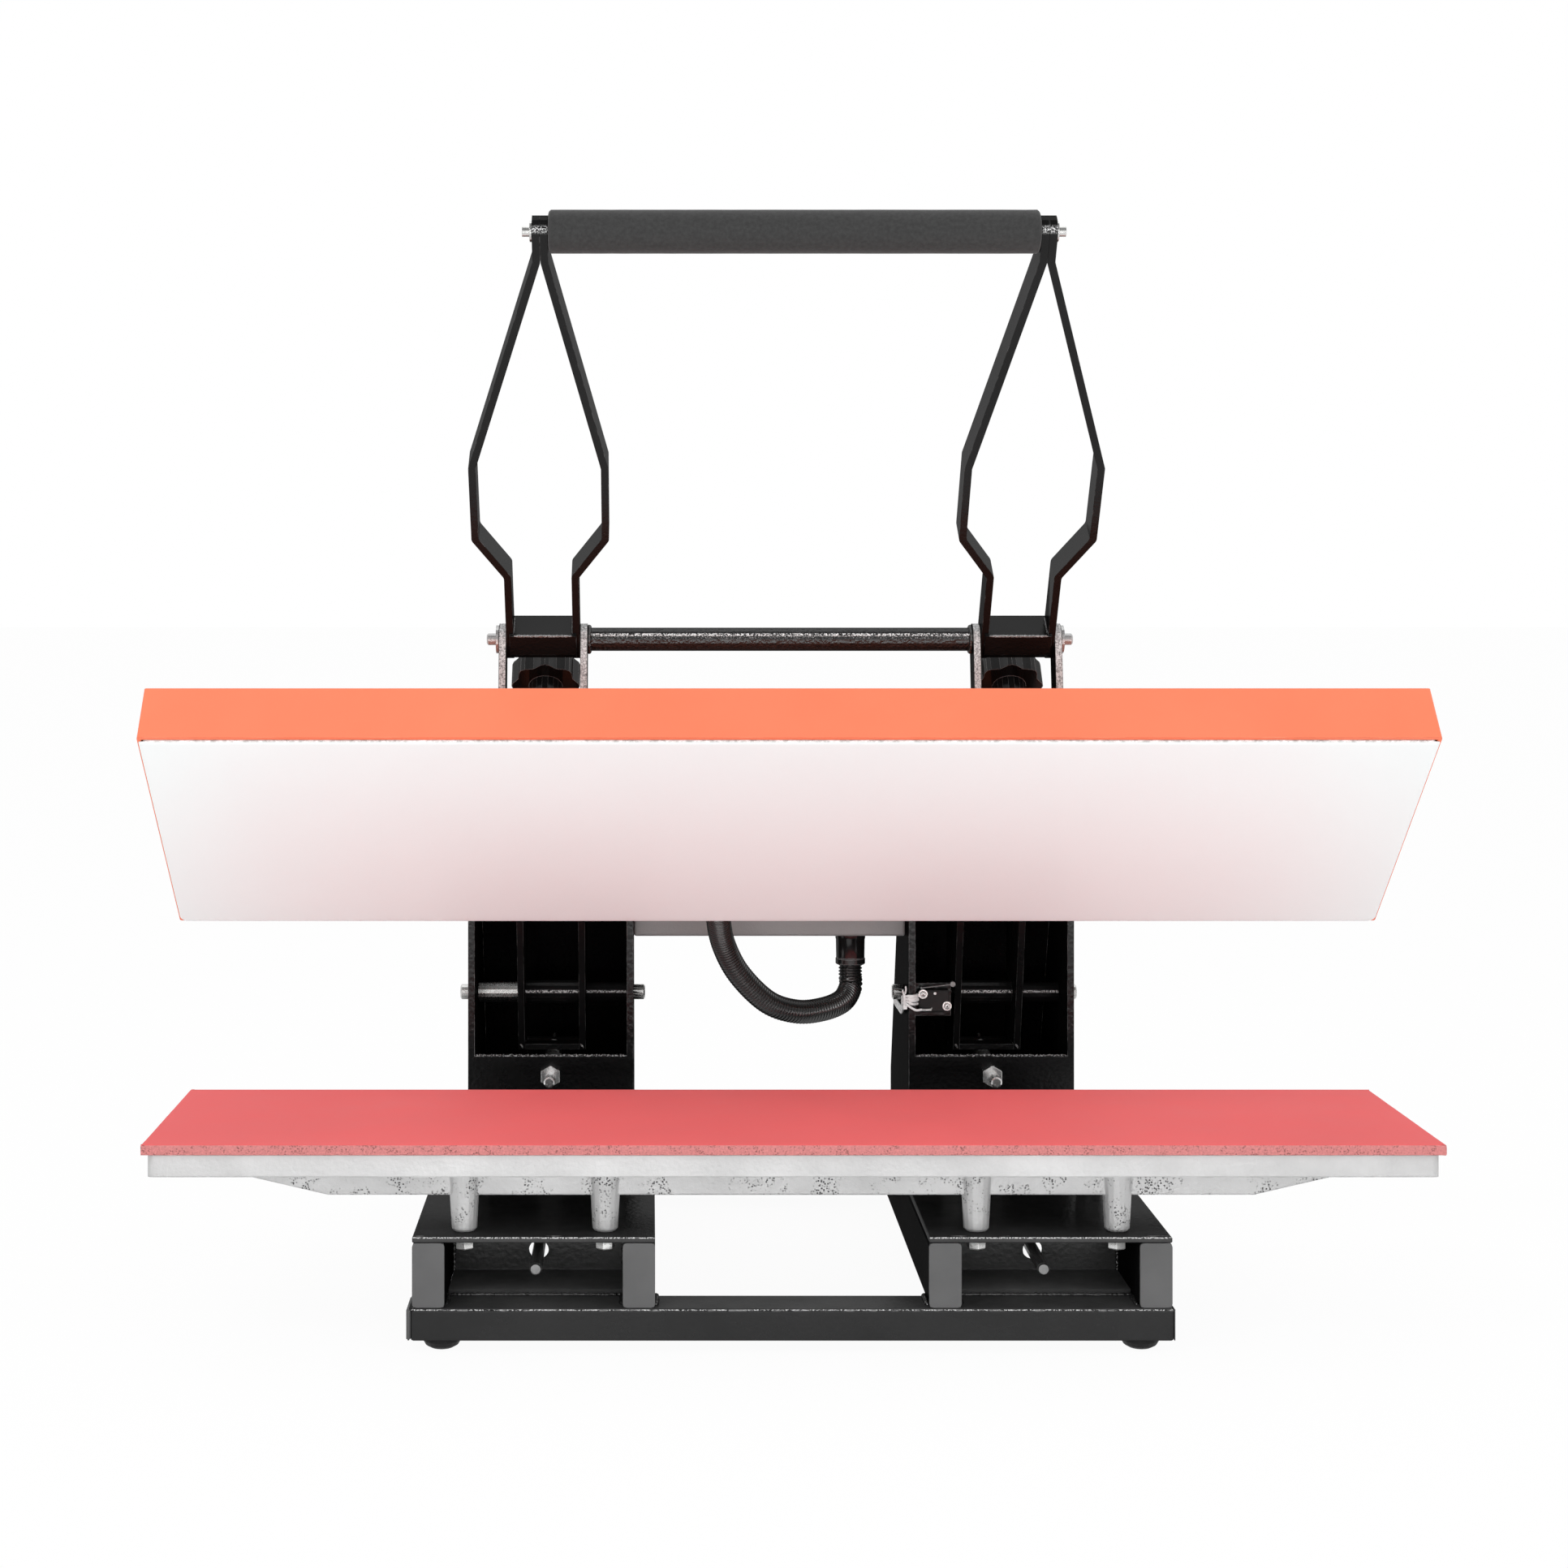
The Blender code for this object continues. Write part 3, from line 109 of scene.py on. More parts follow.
def blendColour(mat, factor, first, second):
    mix = add(mat, "ShaderNodeMix", data_type="RGBA")
    for socket, value in ((mix.inputs["Factor"], factor), (mix.inputs["A"], first),
                          (mix.inputs["B"], second)):
        if isinstance(value, bpy.types.NodeSocket):
            link(mat, value, socket)
        else:
            socket.default_value = value
    return mix.outputs["Result"]


def calculate(mat, operation, first, second=0.0):
    item = add(mat, "ShaderNodeMath", {0: first, 1: second}, operation=operation)
    item.use_clamp = operation in ("MULTIPLY", "ADD", "SUBTRACT")
    return item.outputs["Value"]


def speckles(mat, coords, scale, detail=4.0, rough=0.6):
    return add(mat, "ShaderNodeTexNoise", {"Vector": coords, "Scale": scale, "Detail": detail,
                                           "Roughness": rough}).outputs["Fac"]


def tint(colour, factor):
    return tuple(min(1.0, channel * factor) for channel in colour) + (1.0,)


def look(name, colour, rough, metal=0.0, specular=0.5, edge=0.0008, mottle=(9.0, 0.12),
         spread=0.05, grain=(700.0, 0.00004), peel=None, wear=None, pits=None, threads=None,
         gloss=None, coat=0.0, sheen=0.0, lines=(), rimHighlights=None):
    mat = bpy.data.materials.new(name)
    mat.use_nodes = True
    shader = mat.node_tree.nodes["Principled BSDF"]
    shader.inputs["Specular IOR Level"].default_value = specular
    shader.inputs["Metallic"].default_value = metal
    shader.inputs["Coat Weight"].default_value = gloss[0] if gloss else coat
    shader.inputs["Coat Roughness"].default_value = gloss[1] if gloss else 0.12
    shader.inputs["Coat IOR"].default_value = 4.0 if gloss else 1.5  # even shine, also at a slant
    shader.inputs["Sheen Weight"].default_value = sheen
    coords = add(mat, "ShaderNodeTexCoord").outputs["Object"]
    cloud = speckles(mat, coords, mottle[0], 5.0)
    base = blendColour(mat, ramp(mat, cloud, 0.35, 0.65), tint(colour, 1 - mottle[1]),
                       tint(colour, 1 + mottle[1]))
    roughness = ramp(mat, speckles(mat, coords, mottle[0] * 4), 0.3, 0.7, rough - spread,
                     rough + spread)
    normal = add(mat, "ShaderNodeBevel", {"Radius": edge}, samples=4).outputs["Normal"]
    if wear:  # bright rubbed lines where the surface turns
        flat = add(mat, "ShaderNodeNewGeometry").outputs["Normal"]
        turn = add(mat, "ShaderNodeVectorMath", {0: normal, 1: flat}, operation="DOT_PRODUCT")
        patches = ramp(mat, speckles(mat, coords, wear["scale"], 6.0), wear["low"], wear["high"])
        rubbed = calculate(mat, "MULTIPLY", ramp(mat, turn.outputs["Value"], 0.995, 0.93), patches)
        base = blendColour(mat, rubbed, base, tint(wear["colour"], 1.0))
        roughness = ramp(mat, rubbed, 0.0, 1.0, roughness, 0.45)
    for at, reach, scale, low, bright in lines:  # a painted highlight along an edge, speckled like rubbed paint: its place in Y and Z
        place = add(mat, "ShaderNodeVectorMath", {0: coords, 1: (0, 1, 1)}, operation="MULTIPLY")
        away = add(mat, "ShaderNodeVectorMath", {0: place.outputs["Vector"], 1: (0, *at)},
                   operation="DISTANCE").outputs["Value"]
        dots = ramp(mat, speckles(mat, coords, scale, 3.0), low, low + 0.10)
        mask = calculate(mat, "MULTIPLY", ramp(mat, away, reach, reach * 0.5), dots)
        base = blendColour(mat, mask, base, grey(bright))
    if rimHighlights:  # a painted highlight on the narrow faces of two plates that stand at one distance from each arm's middle
        across = add(mat, "ShaderNodeSeparateXYZ", {"Vector": coords}).outputs["X"]
        for step in rimHighlights["steps"]:
            across = add(mat, "ShaderNodeMath", {0: across}, operation="ABSOLUTE").outputs["Value"]
            across = add(mat, "ShaderNodeMath", {0: across, 1: step}, operation="SUBTRACT")
            across = across.outputs["Value"]
        across = add(mat, "ShaderNodeMath", {0: across}, operation="ABSOLUTE").outputs["Value"]
        dots = ramp(mat, speckles(mat, coords, rimHighlights["scale"], 3.0, 0.8), 0.38, 0.58, 0.25, 1.0)
        mask = calculate(mat, "MULTIPLY", ramp(mat, across, 0.0029, 0.0025), dots)
        base = blendColour(mat, mask, base, grey(rimHighlights["bright"]))
    if peel:  # orange peel of a powder coat
        wave = speckles(mat, coords, peel[0], 2.0, 0.4)
        normal = add(mat, "ShaderNodeBump", {"Height": wave, "Distance": peel[1], "Normal": normal,
                                             "Strength": 1.0}).outputs["Normal"]
    # pits: small holes bumped inward, each darkened as painted shade inside it
    if pits:
        dots = add(mat, "ShaderNodeTexVoronoi", {"Vector": coords, "Scale": pits["scale"]})
        chosen = ramp(mat, speckles(mat, coords, pits["spots"], 3.0), 0.47, 0.57)
        if "below" in pits:  # only on the rough cast parts, not on the machined edge
            height = add(mat, "ShaderNodeSeparateXYZ", {"Vector": coords}).outputs["Z"]
            lowPart = ramp(mat, height, pits["below"], pits["below"] - 0.0012)
            chosen = calculate(mat, "MULTIPLY", chosen, lowPart)
        hole = calculate(mat, "MULTIPLY", ramp(mat, dots.outputs["Distance"], pits["size"],
                                           pits["size"] * 0.4), chosen)
        base = blendColour(mat, hole, base, tint(pits["colour"], 1.0))
        normal = add(mat, "ShaderNodeBump", {"Height": hole, "Distance": 0.0006, "Normal": normal,
                                             "Strength": 1.0}, invert=True).outputs["Normal"]
    if threads:  # screw thread: bands along the given axis, one per pitch, darkened in the grooves as painted shade
        bands = add(mat, "ShaderNodeTexWave", {"Vector": threads["coords"](mat, coords),
                                               "Scale": math.pi / (10 * threads["pitch"])},
                    wave_type="BANDS", bands_direction="Y", wave_profile="TRI")
        normal = add(mat, "ShaderNodeBump", {"Height": bands.outputs["Fac"], "Distance": 0.0005,
                                             "Normal": normal, "Strength": 1.0}).outputs["Normal"]
        base = blendColour(mat, bands.outputs["Fac"], tint(colour, 0.45), base)
    fine = speckles(mat, coords, grain[0], 3.0)
    normal = add(mat, "ShaderNodeBump", {"Height": fine, "Distance": grain[1], "Normal": normal,
                                         "Strength": 1.0}).outputs["Normal"]
    link(mat, base, shader.inputs["Base Color"])
    link(mat, roughness, shader.inputs["Roughness"])
    link(mat, normal, shader.inputs["Normal"])
    if gloss:
        shader.inputs["Specular IOR Level"].default_value = 0.0
        link(mat, normal, shader.inputs["Coat Normal"])
    return mat


# Where painted highlights run along the edges and tubes, in Y and Z
plateEdge, plateInside = (-0.2480, 0.0890), (-0.2440, 0.0891)
crossbarEdge, crossbarInside = (-0.2496, 0.0341), (-0.2490, 0.0341)
armTubeFront, spacerFront = (0.1517, 0.2166), (0.1532, 0.2164)
crossTubeTop, crossTubeFront = (-0.0598, 0.5512), (-0.0602, 0.5498)
handleEnd, ledgeMiddle = (-0.2866, 0.8637), (0.1075, 0.1655)

# Paints, metals, plastics and soft materials
powderCoat = {"peel": (260.0, 0.00022), "mottle": (12.0, 0.3)}
paintWear = {"scale": 60.0, "low": 0.42, "high": 0.62, "colour": (0.32, 0.32, 0.32)}
blackPaint = look("black_paint", (0.0048, 0.0048, 0.0050), 0.30, gloss=(0.045, 0.20),
                  wear=paintWear, **powderCoat)
# top plates: black paint made lighter to stand in for light in their shade, painted light, with a
# painted highlight line and a lighter band along the front edge
plateLitPaint = look("plate_lit_paint", (0.0260, 0.0260, 0.0262), 0.30, gloss=(0.10, 0.20),
                  **powderCoat,
                  lines=[(plateEdge, 0.0010, 900.0, 0.45, 0.75),
                         (plateInside, 0.0030, 55.0, 0.60, 0.16)])
# cross walls: black paint made lighter to stand in for light inside the bays' shade, painted light
wallLitPaint = look("wall_lit_paint", (0.032, 0.032, 0.032), 0.34, gloss=(0.09, 0.24),
                 **powderCoat)
# front crossbar: a lighter copy of the black paint for its lit front, painted light, with painted
# highlight lines along its top front edge
crossbarLitPaint = look("crossbar_lit_paint", (0.009, 0.009, 0.0092), 0.34, gloss=(0.075, 0.22),
                     **powderCoat,
                     lines=[(crossbarEdge, 0.0013, 1000.0, 0.48, 0.90),
                            (crossbarInside, 0.0022, 60.0, 0.52, 0.22)])
# arms: painted highlights, speckled, on the hanger bars' narrow front faces and along the hinge tube's
# front
armPaint = look("arm_paint", (0.0055, 0.0055, 0.0057), 0.30, gloss=(0.035, 0.20),
                **powderCoat,
                wear={**paintWear, "colour": (0.09, 0.09, 0.09)},
                rimHighlights={"steps": (0.2, 0.0343), "scale": 620.0, "bright": 0.72},
                lines=[(armTubeFront, 0.0016, 900.0, 0.46, 0.60)])
# spacer sleeves: black paint with a painted highlight line along their front
spacerPaint = look("spacer_paint", (0.0048, 0.0048, 0.0050), 0.30, gloss=(0.030, 0.20),
                   **powderCoat,
                   lines=[(spacerFront, 0.0014, 900.0, 0.46, 0.60)])
# side faces of the uprights and rails: a darker, duller copy of the black paint, painted shade
sideShadePaint = look("side_shade_paint", (0.0045, 0.0045, 0.0046), 0.30, gloss=(0.018, 0.20),
                 **powderCoat)
# cross tube: painted highlight lines, speckled, along its upper front
tubePaint = look("tube_paint", (0.0075, 0.0075, 0.0078), 0.30, gloss=(0.14, 0.13),
                 peel=(420.0, 0.0008), mottle=(12.0, 0.3), grain=(1500.0, 0.00015),
                 lines=[(crossTubeTop, 0.0018, 800.0, 0.47, 0.85),
                        (crossTubeFront, 0.0028, 900.0, 0.56, 0.40)])
handleWear = {"scale": 90.0, "low": 0.5, "high": 0.75, "colour": (0.2, 0.2, 0.2)}
# handle bars: a painted highlight, speckled, across the bars' top ends
handlePaint = look("bar_paint", (0.0045, 0.0045, 0.0045), 0.45, gloss=(0.055, 0.22),
                   peel=(420.0, 0.00012), mottle=(10.0, 0.25), wear=handleWear,
                   lines=[(handleEnd, 0.0050, 900.0, 0.47, 0.75)])
# side faces of the handle bars: a lighter copy of the bar paint, painted light from above
handleLitSidePaint = look("bar_lit_side_paint", (0.0130, 0.0130, 0.0130), 0.45, gloss=(0.13, 0.27),
                       peel=(420.0, 0.00012), mottle=(10.0, 0.25), wear=handleWear)
# crossbar's upward faces: a lighter copy of the paint, painted light inside the bays' shade
crossbarLitTopPaint = look("crossbar_lit_top_paint", (0.045, 0.045, 0.045), 0.34, gloss=(0.10, 0.24),
                        **powderCoat)
# floor strips in the bays: black paint made much lighter to stand in for light in their shade, painted
# light
stripLitPaint = look("strip_lit_paint", (0.12, 0.12, 0.12), 0.34, gloss=(0.10, 0.24),
                  **powderCoat)
orangePaint = look("orange_paint", (0.86, 0.205, 0.103), 0.42, specular=0.3, edge=0.0010,
                   peel=(520.0, 0.00008), mottle=(3.0, 0.05),
                   wear={"scale": 30.0, "low": 0.45, "high": 0.7, "colour": (0.98, 0.36, 0.22)})
greyPaint = look("grey_paint", (0.255, 0.26, 0.26), 0.45, peel=(900.0, 0.00012), mottle=(15.0, 0.08))
greyPlastic = look("grey_plastic", (0.090, 0.090, 0.091), 0.48, grain=(1600.0, 0.00006),
                   mottle=(22.0, 0.10), specular=0.4)
panelPlastic = look("panel_plastic", (0.10, 0.10, 0.105), 0.42, grain=(1800.0, 0.00005),
                    mottle=(18.0, 0.06))
blackPlastic = look("black_plastic", (0.009, 0.009, 0.009), 0.26, gloss=(0.11, 0.14),
                    grain=(1500.0, 0.00002), mottle=(30.0, 0.2),
                    wear={"scale": 200.0, "low": 0.2, "high": 0.4, "colour": (0.30, 0.30, 0.30)})
switchPlastic = look("switch_plastic", (0.013, 0.013, 0.013), 0.35, gloss=(0.030, 0.25),
                     grain=(1500.0, 0.00002), mottle=(30.0, 0.2))
# heating plate: red turned down against the pink light the pad throws up onto it, a painted offset of
# that reflected light
whiteCoating = look("white_coating", (0.83, 0.90, 0.90), 0.34, mottle=(2.2, 0.012), specular=0.35,
                    grain=(500.0, 0.00003), edge=0.0015)
castAluminium = look("cast_aluminium", (0.52, 0.52, 0.52), 0.40, metal=0.35, mottle=(16.0, 0.10),
                     peel=(280.0, 0.00032), grain=(1400.0, 0.00010), edge=0.0022,
                     pits={"scale": 520.0, "spots": 34.0, "size": 0.42, "below": 0.1390,
                           "colour": (0.06, 0.06, 0.06)})
zincSteel = look("zinc_steel", (0.60, 0.60, 0.59), 0.26, metal=1.0, mottle=(160.0, 0.12),
                 grain=(1800.0, 0.00003), edge=0.0004)
pinSteel = look("pin_steel", (0.50, 0.50, 0.50), 0.26, metal=0.6, mottle=(160.0, 0.10),
                grain=(1800.0, 0.00003), edge=0.0005)
boltSteel = look("bolt_steel", (0.86, 0.86, 0.85), 0.30, metal=0.75, mottle=(160.0, 0.08),
                 grain=(1800.0, 0.00003), edge=0.0005)
rodSteel = look("rod_steel", (0.30, 0.30, 0.30), 0.34, metal=0.9, mottle=(120.0, 0.15),
                threads={"pitch": 0.0015, "coords": lambda mat, coords: coords})
hookSteel = look("hook_steel", (0.90, 0.90, 0.89), 0.24, metal=1.0, mottle=(160.0, 0.12),
                 grain=(1800.0, 0.00003), edge=0.0008)
leverSteel = look("lever_steel", (0.20, 0.20, 0.20), 0.40, metal=0.5, mottle=(160.0, 0.12),
                  edge=0.0003)
screwSteel = look("screw_steel", (0.68, 0.68, 0.67), 0.24, metal=1.0, mottle=(120.0, 0.10),
                  edge=0.0004)
redSilicone = look("red_silicone", (0.82, 0.132, 0.134), 0.72, specular=0.25, mottle=(5.0, 0.035),
                   grain=(900.0, 0.00006), edge=0.0008)
cutSilicone = look("cut_silicone", (0.56, 0.205, 0.20), 0.9, specular=0.15, mottle=(620.0, 0.14),
                   grain=(1100.0, 0.0004), edge=0.0005,
                   pits={"scale": 700.0, "spots": 200.0, "size": 0.42, "colour": (0.33, 0.13, 0.12)})
blackFoam = look("black_foam", (0.036, 0.036, 0.036), 0.88, specular=0.2, mottle=(320.0, 0.16),
                 grain=(1300.0, 0.00022), edge=0.0010, sheen=0.15)
blackRubber = look("black_rubber", (0.007, 0.007, 0.007), 0.55, specular=0.2, mottle=(40.0, 0.2),
                   grain=(1200.0, 0.00005), edge=0.0015)
mineralWool = look("mineral_wool", (0.55, 0.48, 0.30), 0.95, specular=0.1, mottle=(160.0, 0.25),
                   grain=(500.0, 0.0012))

cadLooks = {
    "front_crossbar": crossbarLitPaint, "rear_crossbar": blackPaint, "lower_platen": castAluminium,
    "cross_tube": tubePaint, "heating_plate": whiteCoating, "platen_cover": orangePaint,
    "pressure_beam": blackPaint, "control_box": greyPaint, "control_panel": panelPlastic,
    "power_inlet": blackPlastic, "power_rocker": blackPlastic, "button_1": blackPlastic,
    "button_2": blackPlastic, "button_3": blackPlastic, "hose_gland": blackPlastic,
    "micro_switch": switchPlastic, "switch_lever": leverSteel, "insulation": mineralWool,
    "grip_shaft": zincSteel,
}
for side in ("left", "right"):
    for node, item in (("front_foot_", blackRubber), ("rear_foot_", blackRubber),
                       ("top_plate_", plateLitPaint), ("cross_wall_", wallLitPaint),
                       ("upright_", blackPaint), ("arm_", armPaint), ("stop_rod_", rodSteel),
                       ("hinge_rod_", zincSteel), ("hook_bolt_", hookSteel),
                       ("pivot_pin_", pinSteel), ("pressure_screw_", screwSteel),
                       ("star_knob_", blackPlastic), ("handle_fork_", handlePaint)):
        cadLooks[node + side] = item
    for way in ("inner", "outer"):
        cadLooks[f"rail_{side}_{way}"] = blackPaint
        cadLooks[f"rail_plug_{side}_{way}"] = greyPlastic
for name, obj in nodes.items():
    if name in cadLooks:
        obj.data.materials.clear()
        obj.data.materials.append(cadLooks[name])


def second(name, item, chosen):  # a second paint on the faces that the test picks
    obj = nodes[name]
    obj.data.materials.append(item)
    for face in obj.data.polygons:
        if chosen(face.normal, obj.matrix_world @ face.center):
            face.material_index = 1


# Lit and shaded copies of the paints on chosen faces, painted light and shade; the spacer sleeves get
# their painted highlight line
second("front_crossbar", crossbarLitTopPaint, lambda normal, centre: normal.z > 0.9)
for side in ("left", "right"):
    second(f"cross_wall_{side}", stripLitPaint,
           lambda normal, centre: normal.z > 0.9 and centre.z < 0.05)
    second(f"hinge_rod_{side}", spacerPaint,
           lambda normal, centre: -0.2 < centre.x < 0.274 and abs(centre.x) > 0.126)
    for name in (f"upright_{side}", f"rail_{side}_inner", f"rail_{side}_outer"):
        second(name, sideShadePaint, lambda normal, centre: abs(normal.x) > 0.9)
    second(f"handle_fork_{side}", handleLitSidePaint,
           lambda normal, centre: abs(normal.x) > 0.4 and centre.z > 0.58)
print("materials", len(bpy.data.materials))


# Mesh helpers
def piece(name, shapes, material, body, angle=35, parts=None):
    vertices, faces, kinds = [], [], []
    for index, (points, polygons) in enumerate(shapes):
        start = len(vertices)
        vertices += [tuple(p) for p in points]
        faces += [tuple(i + start for i in polygon) for polygon in polygons]
        kinds += [index if parts else 0] * len(polygons)
    mesh = bpy.data.meshes.new(name)
    mesh.from_pydata(vertices, [], faces)
    for item in (material if isinstance(material, list) else [material]):
        mesh.materials.append(item)
    if parts:
        for polygon, index in zip(mesh.polygons, kinds):
            polygon.material_index = parts[index]
    shape = bmesh.new()
    shape.from_mesh(mesh)
    bmesh.ops.recalc_face_normals(shape, faces=shape.faces)
    shape.to_mesh(mesh)
    shape.free()
    mesh.shade_smooth()
    mesh.set_sharp_from_angle(angle=math.radians(angle))
    obj = bpy.data.objects.new(name, mesh)
    bpy.context.scene.collection.objects.link(obj)
    if body:
        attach(obj, body)
    return obj


def basis(axis):
    axis = Vector(axis).normalized()
    across = axis.orthogonal().normalized()
    return axis, across, axis.cross(across)


def lathe(profile, origin, axis, segments=32, turn=0.0, across=None):
    axis, first, second = basis(axis)
    if across is not None:
        first = Vector(across).normalized()
        second = axis.cross(first)
    points, faces = [], []
    for along, radius in profile:
        for k in range(segments):
            a = turn + 2 * math.pi * k / segments
            points.append(Vector(origin) + axis * along
                          + (first * math.cos(a) + second * math.sin(a)) * radius)
    rows = len(profile)
    for r in range(rows - 1):
        for k in range(segments):
            n = (k + 1) % segments
            faces.append((r * segments + k, r * segments + n, (r + 1) * segments + n,
                          (r + 1) * segments + k))
    faces.append(tuple(range(segments)))
    faces.append(tuple(range((rows - 1) * segments, rows * segments)))
    return points, faces


def tube(points, radii, sides=12):
    points = [Vector(p) for p in points]
    radii = radii if isinstance(radii, list) else [radii] * len(points)
    tangents = []
    for i in range(len(points)):
        a = points[max(i - 1, 0)]
        b = points[min(i + 1, len(points) - 1)]
        tangents.append((b - a).normalized())
    normal = tangents[0].orthogonal().normalized()
    rings = []
    for i, point in enumerate(points):
        if i:
            turn = tangents[i - 1].rotation_difference(tangents[i])
            normal = (turn @ normal).normalized()
        side = tangents[i].cross(normal)
        for k in range(sides):
            a = 2 * math.pi * k / sides
            rings.append(point + (normal * math.cos(a) + side * math.sin(a)) * radii[i])
    faces = []
    for i in range(len(points) - 1):
        for k in range(sides):
            n = (k + 1) % sides
            faces.append((i * sides + k, i * sides + n, (i + 1) * sides + n, (i + 1) * sides + k))
    faces.append(tuple(range(sides)))
    faces.append(tuple(range((len(points) - 1) * sides, len(points) * sides)))
    return rings, faces


def slab(low, high, edge=0.0):  # a box with its twelve edges bevelled
    shape = bmesh.new()
    bmesh.ops.create_cube(shape, size=1.0)
    middle = (Vector(low) + Vector(high)) / 2
    size = Vector(high) - Vector(low)
    for v in shape.verts:
        v.co = Vector(v.co[i] * size[i] + middle[i] for i in range(3))
    if edge:
        bmesh.ops.bevel(shape, geom=shape.edges[:], offset=edge, segments=2, affect="EDGES")
    points = [v.co.copy() for v in shape.verts]
    faces = [tuple(v.index for v in f.verts) for f in shape.faces]
    shape.free()
    return points, faces


def smoothRoute(route, spacing):
    knots = [Vector(p) for p in route]
    knots = [2 * knots[0] - knots[1]] + knots + [2 * knots[-1] - knots[-2]]
    fine = []
    for a, b, c, d in zip(knots, knots[1:], knots[2:], knots[3:]):
        for k in range(40):
            t = k / 40
            fine.append(0.5 * (2 * b + (c - a) * t + (2 * a - 5 * b + 4 * c - d) * t ** 2
                               + (3 * b - a - 3 * c + d) * t ** 3))
    fine.append(knots[-2])
    total = sum((q - p).length for p, q in zip(fine, fine[1:]))
    count = max(2, round(total / spacing))
    result, walked = [fine[0]], 0.0
    for p, q in zip(fine, fine[1:]):
        step = (q - p).length
        while len(result) < count and walked + step >= total / count * len(result):
            result.append(p.lerp(q, (total / count * len(result) - walked) / step))
        walked += step
    result.append(fine[-1])
    return result


def bead(path, radius, seed):  # a weld's rippled line
    points = smoothRoute(path, 0.0009)
    chance = random.Random(seed)
    radii = []
    for i in range(len(points)):
        ripple = 0.16 * math.sin(i * 1.55) + chance.uniform(-0.12, 0.12)
        ends = min(1.0, 0.35 + min(i, len(points) - 1 - i) * 0.25)
        radii.append(radius * (1 + ripple) * ends)
    for p in points:
        p += Vector((0, chance.uniform(-1, 1), chance.uniform(-1, 1))) * radius * 0.12
    return tube(points, radii, 8)


def hexHead(base, axis, flats, height, across=None, turn=0.0):
    corner = flats / 2 / math.cos(math.pi / 6)
    shoulder = height * 0.84
    return lathe([(0, corner * 0.97), (height * 0.05, corner), (shoulder, corner),
                  (height, corner * 0.86)], base, axis, 6, turn, across)


def washer(base, axis, outer, thick):
    return lathe([(0, outer * 0.96), (thick * 0.2, outer), (thick * 0.8, outer),
                  (thick, outer * 0.96)], base, axis, 32)


# Pad: smooth skin on top, rough knife-cut edges
padX, padY, padZ = 0.5, 0.22, 0.008  # half its length, its width and thickness
longSteps, shortSteps = 250, 55
border = []
for k in range(longSteps):
    border.append((-padX + 2 * padX * k / longSteps, 0.0, 0, -1))
for k in range(shortSteps):
    border.append((padX, padY * k / shortSteps, 1, 0))
for k in range(longSteps):
    border.append((padX - 2 * padX * k / longSteps, padY, 0, 1))
for k in range(shortSteps):
    border.append((-padX, padY - padY * k / shortSteps, -1, 0))
padProfile = [(0.0, 0.0030), (0.0, 0.0009), (-0.0003, 0.0003), (-0.0022, 0.0), (-0.0042, 0.0),
              (-0.0062, 0.0), (-0.0077, 0.0002), (-padZ, 0.0008)]  # heights and insets
biteScale, biteRise, biteDepth = 240, 380, 0.0005  # how the knife has torn the edge
rings = []
for height, inset in padProfile:
    ring = []
    for x, y, outX, outY in border:
        spot = Vector((x * biteScale, y * biteScale, height * biteRise))
        bite = abs(noise.noise(spot)) * biteDepth
        bite = 0 if height == 0.0 else bite
        ring.append(bench(x - outX * (inset + bite), y - outY * (inset + bite), height))
    rings.append(ring)
count = len(border)
skinPoints = rings[0] + rings[1] + rings[2]
skinFaces = [(r * count + k, r * count + (k + 1) % count, (r + 1) * count + (k + 1) % count,
              (r + 1) * count + k) for r in range(2) for k in range(count)]
skinFaces.append(tuple(range(count)))
cutPoints = [p for ring in rings[2:] for p in ring]
cutFaces = [(r * count + k, r * count + (k + 1) % count, (r + 1) * count + (k + 1) % count,
             (r + 1) * count + k) for r in range(len(rings) - 3) for k in range(count)]
cutFaces.append(tuple(range((len(rings) - 3) * count, (len(rings) - 2) * count)))
pad = piece("pad", [(skinPoints, skinFaces), (cutPoints, cutFaces)], [redSilicone, cutSilicone],
            "frame", parts=[0, 1])
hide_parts("silicone_pad")
print("pad", len(pad.data.polygons))

# Bolts that hold the casting's legs to the top plates
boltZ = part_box("top_plate_left")[0].z
flatWasher, springWasher, headDrop = 0.0016, 0.0020, 0.0038
headFlats, headHeight = 0.013, 0.0060
down = Vector((0, 0, -1))
legSpots = [(x, y) for x in (-0.255, -0.145, 0.145, 0.255) for y in (0.0428, 0.1772)]
for number, (x, y) in enumerate(legSpots):
    base = bench(x, y, 0)
    base.z = boltZ
    turn = math.radians(24 + 9 * (number * 5 % 4))  # each bolt stopped at its own angle
    shapes = [washer(base, down, 0.0078, flatWasher),
              washer(base + down * flatWasher, down, 0.0062, springWasher),
              hexHead(base + down * headDrop, down, headFlats, headHeight, (1, 0, 0), turn)]
    piece(f"platen_bolt_{number + 1}", shapes, boltSteel, "frame")

# Weld lines on the bases, crossbars and uprights
weldPaint = look("weld_paint", (0.010, 0.010, 0.010), 0.22, gloss=(0.30, 0.16),
                 peel=(900.0, 0.0007), mottle=(60.0, 0.3))
brightWeld = look("bright_weld", (0.110, 0.110, 0.110), 0.25, gloss=(0.7, 0.18),
                  peel=(1000.0, 0.0010), mottle=(900.0, 0.9))
